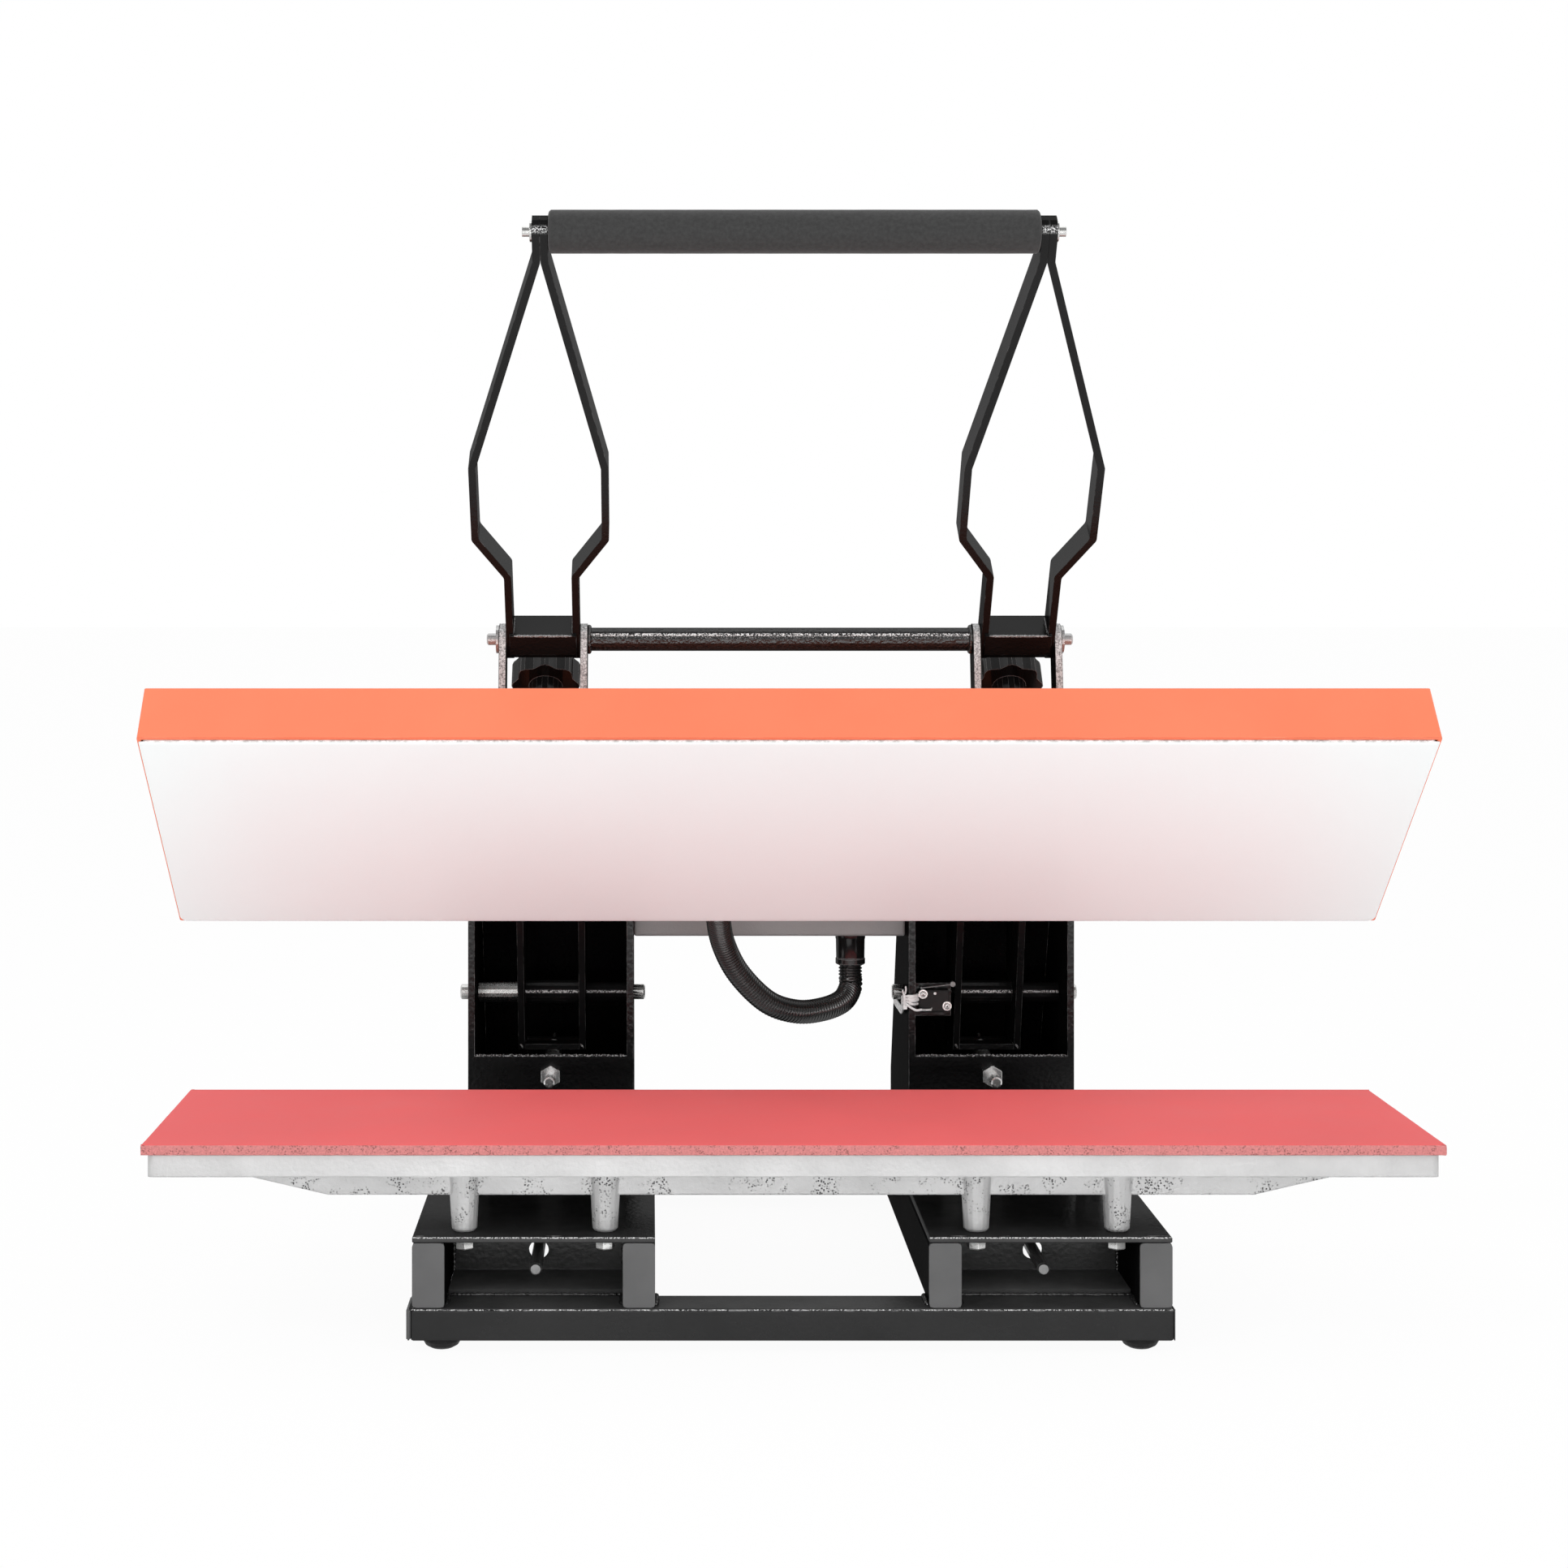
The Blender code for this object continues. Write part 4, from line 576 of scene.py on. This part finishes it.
# weld along the uprights' ledge, with a painted highlight line along it
ledgeLook = look("ledge_weld", (0.020, 0.020, 0.020), 0.35, gloss=(0.08, 0.25),
                 peel=(1000.0, 0.0006), mottle=(300.0, 0.3),
                 lines=[(ledgeMiddle, 0.0040, 700.0, 0.50, 0.45)])
railInner, railOuter = 0.106, 0.294  # the outer faces of each base's two rails
railWide = 0.0258  # a rail with its weld
wallHalf, stripHalf = 0.0686, 0.069
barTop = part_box("front_crossbar")[1].z
lowY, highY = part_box("front_crossbar")[0].y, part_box("front_crossbar")[1].y
for side, sign in (("left", -1), ("right", 1)):
    rows = [(sign * railInner - sign * 0.0008, highY - 0.030, 0.0022, 3),
            (sign * railInner + sign * railWide, lowY + 0.012, 0.0021, 5),
            (sign * railOuter - sign * railWide, lowY + 0.012, 0.0021, 7)]
    shapes = [bead([(x, startY, barTop + 0.0006), (x, highY - 0.004, barTop + 0.0006)], radius, seed)
              for x, startY, radius, seed in rows]
    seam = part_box(f"cross_wall_{side}")[0].y  # the floor strip's front edge on the crossbar
    shapes.append(bead([(sign * sideX - stripHalf, seam, barTop + 0.0003),
                        (sign * sideX + stripHalf, seam, barTop + 0.0003)], 0.0014, 9))
    for way in (-1, 1):
        x = sign * sideX + way * wallHalf
        shapes.append(bead([(x, seam - 0.0010, barTop + 0.0008),
                            (x, seam + 0.0300, barTop + 0.0008)], 0.0018, 15))
    wallY = bench(0, 0.1182, 0).y - 0.0006
    for way in (-1, 1):
        x = sign * sideX + way * wallHalf
        shapes.append(bead([(x, wallY, barTop + 0.0020), (x, wallY, barTop + 0.0480)], 0.0016, 13))
    piece(f"base_weld_{side}", shapes, weldPaint, "frame")
    plateTop = bench(0, 0.375, 0.0)
    ledge = [(sign * sideX + x, plateTop.y + 0.0012, plateTop.z + 0.0002)
             for x in (-stripHalf, 0, stripHalf)]
    piece(f"ledge_weld_{side}", [bead(ledge, 0.0013, 11)], ledgeLook, "frame")
    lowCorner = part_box(f"upright_{side}")[0].z + 0.0008
    runs = []
    for way in (-1, 1):
        x = sign * sideX + way * 0.0755
        for k in range(3):
            y = 0.392 + k * 0.058
            runs.append(bead([bench(x, y, 0), bench(x, y + 0.022, 0)], 0.0021, 20 + k))
    for points, _ in runs:
        for p in points:
            p.z += lowCorner - bench(0, 0, 0).z
    piece(f"foot_weld_{side}", runs, weldPaint, "frame")
capX, capInset = 0.2951, 0.0004
for sign, thick in ((-1, 0.0033), (1, 0.0008)):
    low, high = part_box("front_crossbar")
    ends = (sign * capX, sign * (capX + thick))
    cap = slab((min(ends), low.y + capInset, low.z + capInset),
               (max(ends), high.y - capInset, high.z - capInset), thick * 0.3)
    piece("crossbar_cap_" + ("left" if sign < 0 else "right"), [cap], greyPlastic, "frame")
print("welds done")

# Springs, in round wire
wireSteel = look("spring_wire", (0.55, 0.55, 0.54), 0.3, metal=1.0, mottle=(200.0, 0.15),
                 grain=(1500.0, 0.00002), edge=0.0002)
eyeY, eyeZ = 0.4145, -0.017  # the hook bolt's eye
anchorY, anchorZ = 0.468, -0.002  # the arm's own hole
wireRadius, coilRadius, hookRadius = 0.00125, 0.0065, 0.006
coilTurns, turnSteps, hookSteps = 10, 24, 18
hookTurn, hookLength = math.pi * 1.15, 0.0115
for side, sign in (("left", -1), ("right", 1)):
    start = Vector((sign * sideX, eyeY, eyeZ))
    end = Vector((sign * sideX, anchorY, anchorZ))
    along = (end - start).normalized()
    beside = along.cross(Vector((1, 0, 0)))
    route = []
    for k in range(hookSteps + 1):
        a = hookTurn * (1 - k / hookSteps)
        route.append(start - along * hookRadius * math.sin(a) + beside * hookRadius * math.cos(a))
    length = (end - start).length - 2 * hookLength
    for k in range(coilTurns * turnSteps + 1):
        a = 2 * math.pi * k / turnSteps
        route.append(start + along * (hookLength + length * k / (coilTurns * turnSteps))
                     + (beside * math.cos(a) + Vector((1, 0, 0)) * math.sin(a)) * coilRadius)
    for k in range(hookSteps + 1):
        a = hookTurn * k / hookSteps
        route.append(end + along * hookRadius * math.sin(a) + beside * hookRadius * math.cos(a))
    coil = piece(f"coil_{side}", [tube([p + benchShift for p in route], wireRadius, 10)],
                 wireSteel, None)
    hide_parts(f"spring_{side}")
    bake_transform(coil)
print("springs done")

# Hose: close ribs from the platen's gland round to the sleeve under the control box
hosePlastic = look("hose_plastic", (0.011, 0.011, 0.011), 0.34, gloss=(0.20, 0.22), mottle=(50.0, 0.2),
                   grain=(1200.0, 0.00003), edge=0.0003)
coverRear, glandLength, sleeveLength = 0.240, 0.014, 0.0283
straight = 0.0216  # the hose's first and last stretch, one diameter long
glandEnd = opened(-0.050, coverRear + glandLength + touchGap, 0.030)
glandLead = opened(-0.050, coverRear + glandLength + touchGap + straight, 0.030)
sleeveTop = bench(0.0757, 0.425, 0.105 - touchGap)
mouth = sleeveTop - Vector((0, 0, sleeveLength))
hoseRoute = [glandEnd, glandLead, bench(-0.0445, 0.324, 0.1085), bench(-0.0300, 0.341, 0.0795),
             bench(-0.0040, 0.359, 0.0520), bench(0.0230, 0.373, 0.0410),
             bench(0.0480, 0.389, 0.0405), bench(0.0670, 0.408, 0.0450),
             mouth - Vector((0, 0, straight)), mouth - Vector((0, 0, straight / 2)), mouth]
hoseRadius, ribPitch, ribDepth, ribSteps = 0.0109, 0.0030, 0.0014, 8
hosePoints = smoothRoute(hoseRoute, ribPitch / ribSteps)
hoseRadii = [hoseRadius - ribDepth * (0.5 - 0.5 * math.cos(2 * math.pi * i / ribSteps)) ** 1.3
             for i in range(len(hosePoints))]
hoseTube = piece("ribbed_hose", [tube(hosePoints, hoseRadii, 24)], hosePlastic, None,
                 angle=80)
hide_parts("hose")
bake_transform(hoseTube)
sleeveProfile = [(0, 0.0138), (0.004, 0.0138), (0.0046, 0.0134), (0.022, 0.0131), (0.0228, 0.0137),
                 (0.0272, 0.0137), (0.028, 0.0128), (0.028, 0.0111)]
collar = piece("hose_collar", [lathe(sleeveProfile, sleeveTop, (0, 0, -1), 40)], blackPlastic,
               "frame")
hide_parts("hose_sleeve")
print("hose", round(sum((q - p).length for p, q in zip(hosePoints, hosePoints[1:])), 3))

# Foam sleeve on the handle
pivot = opened(0, 0.0518, 0.1613)
lean = math.radians(34.9)
gripReach = 0.386  # from the pivot pins to the grip's middle
gripLine = pivot + Vector((0, -math.sin(lean), math.cos(lean))) * gripReach
foamEnd = [(0.1863, 0.0161), (0.1871, 0.0152), (0.1875, 0.0140), (0.1875, 0.0118)]
foamStart, foamRadius, foamSteps = -0.1855, 0.0167, 40
foamProfile = [(-along, radius) for along, radius in reversed(foamEnd)]
for k in range(foamSteps + 1):
    along = foamStart - 2 * foamStart * k / foamSteps
    dent = 0.00008 * noise.noise(Vector((along * 90, 0.3, 0)))
    foamProfile.append((along, foamRadius + dent))
foamProfile += foamEnd
foam = piece("foam_sleeve", [lathe(foamProfile, gripLine, (1, 0, 0), 72)], blackFoam, "handle",
             angle=50)
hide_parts("foam_grip")

# Mineral wool slab inside the cover
woolSource = nodes["insulation"].data
woolMesh = woolSource.copy()
woolMesh.name = "wool"
woolMesh.materials.clear()
woolMesh.materials.append(mineralWool)
wool = bpy.data.objects.new("wool", woolMesh)
bpy.context.scene.collection.objects.link(wool)
shape = bmesh.new()
shape.from_mesh(woolMesh)
bmesh.ops.subdivide_edges(shape, edges=shape.edges[:], cuts=14, use_grid_fill=True)
shape.normal_update()
for v in shape.verts:
    v.co -= v.normal * (0.0004 + 0.0007 * abs(noise.noise(v.co * 90)))
shape.to_mesh(woolMesh)
shape.free()
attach(wool, "platen")
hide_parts("insulation")

# Weld rings where the cross tube meets the hanger bars
tubeRingRadius = 0.0104
for side, sign in (("left", -1), ("right", 1)):
    hangerIn = sign * (sideX - 0.0373)
    ring = []
    for k in range(17):
        a = 2 * math.pi * k / 16
        ring.append(Vector((hangerIn - sign * 0.0012, pivot.y + tubeRingRadius * math.cos(a),
                            pivot.z + tubeRingRadius * math.sin(a))))
    piece(f"tube_weld_{side}", [bead(ring, 0.0019, 31)], weldPaint, "arm")


def onHandle(sign, x, forward, up):  # a point given along and across the raised handle
    return pivot + Vector((sign * sideX + x, -math.cos(lean) * forward - math.sin(lean) * up,
                           -math.sin(lean) * forward + math.cos(lean) * up))


# Lumps of weld on the arms' heels and lines on the pivot boxes
for side, sign in (("left", -1), ("right", 1)):
    lumps = []
    for way in (-1, 1):
        spot = bench(sign * sideX + way * 0.0278, 0.4088, 0.0035)
        lumps.append(bead([spot + Vector((-0.0016, 0, 0.0016)), spot,
                           spot + Vector((0.0010, 0, -0.0022))], 0.0015, 41 + way))
        lumps.append(bead([spot + Vector((0.0012, 0.0006, 0.0030)),
                           spot + Vector((0.0022, 0.0006, 0.0018))], 0.0008, 44 + way))
    piece(f"heel_weld_{side}", lumps, brightWeld, "arm")
    line = bead([onHandle(sign, -0.0246, 0.0149, 0.0140), onHandle(sign, 0, 0.0150, 0.0141),
                 onHandle(sign, 0.0246, 0.0149, 0.0140)], 0.0011, 51)
    piece(f"box_weld_{side}", [line], brightWeld, "handle")
    ends = []
    for way in (-1, 1):
        ends.append(bead([onHandle(sign, way * 0.0248, -0.012, 0.0142),
                          onHandle(sign, way * 0.0248, 0.012, 0.0142)], 0.0013, 53 + way))
    piece(f"bar_weld_{side}", ends, weldPaint, "handle")

# Micro switch: cover, screws on washers, wires in a cable tie, terminal sleeves
switchLow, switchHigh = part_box("micro_switch")
front = switchLow.y
screwSpots = ((0.1385, 0.0555), (0.1603, 0.0446))
shapes = []
slots = []
for x, z in screwSpots:
    place = bench(x, 0, z)
    spot = (place.x, front - 0.0006, place.z)
    shapes.append(lathe([(-0.0004, 0.0042), (0.0004, 0.0043), (0.0009, 0.0040), (0.0009, 0.0030),
                         (0.0018, 0.0029), (0.0025, 0.0023), (0.0028, 0.0012)], spot,
                        (0, -1, 0), 28))
    for turn in (0.5, 0.5 + math.pi / 2):
        points, faces = slab((-0.0014, -0.00035, -0.00030), (0.0014, 0.00035, 0.00030))
        spin = Matrix.Rotation(turn, 3, "Y")
        slots.append(([spin @ p + Vector((place.x, front - 0.0033, place.z)) for p in points],
                      faces))
piece("switch_screws", shapes, boltSteel, "frame")
# the screws' cross recesses are dark crosses laid on the heads: painted shade in place of holes
slotShade = look("slot_painted_shade", (0.02, 0.02, 0.02), 0.6, metal=0.5, edge=0.0001)
piece("screw_crosses", slots, slotShade, "frame")
case = [slab((switchLow.x + 0.0006, front - 0.0005, switchLow.z + 0.0006),
             (switchHigh.x - 0.0006, front + 0.0006, switchHigh.z - 0.0006), 0.0003)]
piece("switch_cover", case, switchPlastic, "frame")
whitePlastic = look("white_plastic", (0.94, 0.94, 0.94), 0.4, mottle=(200.0, 0.06),
                    grain=(1800.0, 0.00002), edge=0.0002)
dotPlace = bench(0.1495, 0, 0.0560)
mark = lathe([(0, 0.0013), (0.0003, 0.0012)], (dotPlace.x, front - 0.0005, dotPlace.z),
             (0, -1, 0), 20)
piece("switch_dot", [mark], whitePlastic, "frame")


def strand(places, radius, sides=12):
    return tube(smoothRoute([bench(*p) for p in places], 0.0012), radius, sides)


# They leave the terminals, pass in front of the upright's edge and run back along its side
sleeves = [strand([(0.1343, 0.3850, 0.0536), (0.1310, 0.3770, 0.0540), (0.1280, 0.3712, 0.0544),
                   (0.1235, 0.3690, 0.0548)], 0.0020, 16),
           strand([(0.1343, 0.3850, 0.0502), (0.1310, 0.3770, 0.0508), (0.1280, 0.3712, 0.0514),
                   (0.1235, 0.3690, 0.0522)], 0.0020, 16),
           strand([(0.1343, 0.3840, 0.0464), (0.1310, 0.3770, 0.0470), (0.1285, 0.3712, 0.0478),
                   (0.1250, 0.3690, 0.0488)], 0.0012)]
piece("terminal_sleeves", sleeves, whitePlastic, "frame", angle=80)
wireWhite = look("wire_white", (0.92, 0.92, 0.92), 0.45, mottle=(300.0, 0.10),
                 grain=(1500.0, 0.00003), edge=0.0002)
wires = []
for k in range(4):
    lift, sideways = (0.0030, 0.0010, -0.0010, -0.0030)[k], (0.0004, -0.0010, 0.0010, -0.0004)[k]
    start = ((0.1250, 0.3690, 0.0552), (0.1250, 0.3690, 0.0524), (0.1262, 0.3690, 0.0490),
             (0.1362, 0.3735, 0.0424))[k]
    extra = [(0.1300, 0.3695, 0.0430)] if k == 3 else []
    wires.append(strand([start] + extra
                        + [(0.1205, 0.3690 + sideways, 0.0522 + lift),
                           (0.1192, 0.3770 + sideways, 0.0504 + lift),
                           (0.1218 + sideways / 2, 0.3960, 0.0430 + lift),
                           (0.1226 + sideways / 2, 0.4180, 0.0354 + lift * 0.9),
                           (0.1226 + sideways / 2, 0.4380, 0.0342 + lift * 0.8),
                           (0.1226 + sideways / 2, 0.4860, 0.0338 + lift * 0.7),
                           (0.1280, 0.4980, 0.0337 + lift * 0.5)], 0.0011, 10))
piece("switch_wires", wires, wireWhite, "frame", angle=80)
grommet = bench(0.1252, 0.4965, 0.0338)
piece("wire_grommet", [lathe([(0, 0.0058), (0.0012, 0.0056), (0.0017, 0.0048), (0.0017, 0.0030)],
                             grommet, (-1, 0, 0), 24)], blackRubber, "frame")
loop = []
for k in range(29):
    a = 2 * math.pi * k / 28
    loop.append(bench(0.1200, 0.3690 + 0.0036 * math.cos(a), 0.0525 + 0.0062 * math.sin(a)))
tie = [tube(loop, 0.0010, 8), tube([bench(0.1206, 0.3665, 0.0475), bench(0.1206, 0.3660, 0.0440)],
                                   [0.0022, 0.0020], 14),
       strand([(0.1208, 0.3660, 0.0580), (0.1213, 0.3640, 0.0622), (0.1210, 0.3630, 0.0652)],
              0.0008, 6),
       strand([(0.1190, 0.3660, 0.0580), (0.1184, 0.3645, 0.0618)], 0.0007, 6)]
piece("cable_tie", tie, whitePlastic, "frame", angle=60)
crimps = [strand([(0.1362, 0.3735, 0.0424), (0.1400, 0.3765, 0.0418), (0.1455, 0.3790, 0.0416)],
                 0.0011),
          strand([(0.1455, 0.3790, 0.0416), (0.1464, 0.3795, 0.0432)], 0.0005, 6)]
piece("switch_crimps", crimps, boltSteel, "frame")

# Control panel at the rear of the gap: screen and screws
panelLow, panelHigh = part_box("control_panel")
screenGlass = look("screen_glass", (0.010, 0.014, 0.012), 0.08, mottle=(40.0, 0.15), coat=0.6,
                   grain=(900.0, 0.000004), edge=0.0003)
middleX, middleZ = -0.045, (panelLow.z + panelHigh.z) / 2 + 0.012
piece("panel_screen", [slab((middleX - 0.0296, panelLow.y + 0.0002, middleZ - 0.0146),
                            (middleX + 0.0296, panelLow.y + 0.0010, middleZ + 0.0146), 0.0003)],
      screenGlass, "frame")
shapes = []
for x in (panelLow.x + 0.006, panelHigh.x - 0.006):
    for z in (panelLow.z + 0.006, panelHigh.z - 0.006):
        shapes.append(lathe([(0, 0.0028), (0.0006, 0.0028), (0.0014, 0.0021), (0.0017, 0.0010)],
                            (x, panelLow.y, z), (0, -1, 0), 20))
piece("panel_screws", shapes, zincSteel, "frame")
print("details done")

# Heating plate: its face runs out under the cover's folded edge, with a rough film on the front
plateIn, plateOut = 0.0046, 0.0010  # how far it stays inside the cover in front, and elsewhere
halfX, frontY, rearY = 0.515, -0.0185, 0.240


def plateRing(front, around, corner, height):
    corners = [(-halfX + around, frontY + front, 0.0012), (halfX - around, frontY + front, 0.0012),
               (halfX - around, rearY - around, corner), (-halfX + around, rearY - around, corner)]
    ring = []
    for index, (x, y, radius) in enumerate(corners):
        signX, signY = (-1 if index in (0, 3) else 1), (-1 if index < 2 else 1)
        start = math.pi * (1 + index / 2)
        for k in range(7):
            a = start + math.pi / 2 * k / 6
            ring.append(opened(x - signX * radius + radius * math.cos(a),
                               y - signY * radius + radius * math.sin(a), height))
    return ring


layers = [plateRing(plateIn + 0.0040, plateOut + 0.0040, 0.0050, 0.0008),
          plateRing(plateIn + 0.0010, plateOut + 0.0010, 0.0060, 0.0008),
          plateRing(plateIn + 0.0003, plateOut + 0.0003, 0.0065, 0.0011),
          plateRing(plateIn, plateOut, 0.0068, 0.0016),
          plateRing(plateIn, plateOut, 0.0068, 0.0022),
          plateRing(plateIn, 0.0045, 0.010, 0.0023), plateRing(plateIn, 0.0045, 0.010, 0.0235)]
count = len(layers[0])
points = [p for ring in layers for p in ring]
faces = [tuple(range(count)), tuple(range((len(layers) - 1) * count, len(layers) * count))]
for r in range(len(layers) - 1):
    for k in range(count):
        n = (k + 1) % count
        faces.append((r * count + k, r * count + n, (r + 1) * count + n, (r + 1) * count + k))
plate = piece("plate_face", [(points, faces)], whiteCoating, "platen", angle=30)
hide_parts("heating_plate")
film = []
steps = 420
for row, (height, out) in enumerate(((0.0012, 0.0001), (0.0022, 0.0006), (0.0030, 0.0007),
                                     (0.0040, 0.0003))):
    for k in range(steps + 1):
        x = -halfX + 0.0065 + (2 * halfX - 0.013) * k / steps
        ragged = noise.noise(Vector((x * 160, row * 3.1, 0))) * 0.0007
        wave = noise.noise(Vector((x * 420, row * 5.3, 7))) * 0.0004
        film.append(opened(x, frontY + plateIn - out - max(wave, 0), height + ragged * (row > 0)))
faces = [(r * (steps + 1) + k, r * (steps + 1) + k + 1, (r + 1) * (steps + 1) + k + 1,
          (r + 1) * (steps + 1) + k) for r in range(3) for k in range(steps)]
filmLook = look("film_edge", (0.74, 0.74, 0.74), 0.5, mottle=(260.0, 0.35), spread=0.1,
                grain=(900.0, 0.0003), edge=0.0002)
piece("plate_film", [(film, faces)], filmLook, "platen", angle=50)
print("plate done")

# Floor, world and lamps
floorMaterial = bpy.data.materials.new("floor")
floorMaterial.use_nodes = True
floorShader = floorMaterial.node_tree.nodes["Principled BSDF"]
floorShader.inputs["Base Color"].default_value = (0.9, 0.9, 0.9, 1)
floorShader.inputs["Roughness"].default_value = 0.9
floorShader.inputs["Specular IOR Level"].default_value = 0.1
rays = add(floorMaterial, "ShaderNodeLightPath")
seen = calculate(floorMaterial, "ADD", rays.outputs["Is Camera Ray"], rays.outputs["Is Glossy Ray"])
seen = calculate(floorMaterial, "ADD", seen, rays.outputs["Is Transmission Ray"])
glow = add(floorMaterial, "ShaderNodeEmission", {"Color": grey(1.0), "Strength": 1.0})
floorGlow = 0.95  # the rest keeps the object's shadow
fade = calculate(floorMaterial, "MULTIPLY", seen, floorGlow)
mixed = add(floorMaterial, "ShaderNodeMixShader", {"Fac": fade, 1: floorShader.outputs["BSDF"],
                                                   2: glow.outputs["Emission"]})
link(floorMaterial, mixed.outputs["Shader"],
     floorMaterial.node_tree.nodes["Material Output"].inputs["Surface"])
floorMesh = bpy.data.meshes.new("floor")
floorMesh.from_pydata([(-30, -30, 0), (30, -30, 0), (30, 30, 0), (-30, 30, 0)], [], [(0, 1, 2, 3)])
floorMesh.materials.append(floorMaterial)
floorPlane = bpy.data.objects.new("floor", floorMesh)
bpy.context.scene.collection.objects.link(floorPlane)
floorPlane.location.z = -0.0002

world = bpy.data.worlds.new("studio")
bpy.context.scene.world = world
world.use_nodes = True
sky = world.node_tree.nodes["Background"]
sky.inputs["Color"].default_value = (1, 1, 1, 1)
heading = add(world, "ShaderNodeTexCoord").outputs["Generated"]
parts = add(world, "ShaderNodeSeparateXYZ", {"Vector": heading})
behind = ramp(world, parts.outputs["Y"], -0.25, 0.35, 0.28, 1.0)  # dark room behind the camera
rays = add(world, "ShaderNodeLightPath")
soft = ramp(world, parts.outputs["Z"], -0.3, 0.9, 0.82, 0.84)
shine = ramp(world, rays.outputs["Is Glossy Ray"], 0.0, 1.0, soft, behind)
through = ramp(world, rays.outputs["Is Transmission Ray"], 0.0, 1.0, shine, behind)
level = ramp(world, rays.outputs["Is Camera Ray"], 0.0, 1.0, through, 1.0)
link(world, level, sky.inputs["Strength"])


def lamp(name, place, target, width, height, power):
    data = bpy.data.lights.new(name, "AREA")
    data.shape = "RECTANGLE"
    data.size = width
    data.size_y = height
    data.energy = power
    item = bpy.data.objects.new(name, data)
    bpy.context.scene.collection.objects.link(item)
    item.location = place
    item.rotation_euler = (Vector(target) - Vector(place)).to_track_quat("-Z", "Y").to_euler()


lamp("key", (-1.6, -2.0, 2.6), (0, 0, 0.3), 0.9, 0.5, 16)
lamp("fill", (1.7, -2.2, 2.0), (0, 0, 0.3), 1.4, 1.0, 12)
lamp("top", (0, 0.4, 2.6), (0, 0, 0.3), 2.2, 1.0, 5)
lamp("front", (0, -2.7, 0.75), (0, 0, 0.3), 2.6, 0.5, 3.5)
lamp("low", (0, -2.3, 0.18), (0, -0.1, 0.40), 2.2, 0.3, 11)
lamp("bounce", (0, -1.5, 0.01), (0, -1.5, 1.0), 2.6, 1.2, 4)
bpy.data.objects["bounce"].visible_camera = False
bpy.data.objects["bounce"].visible_glossy = False
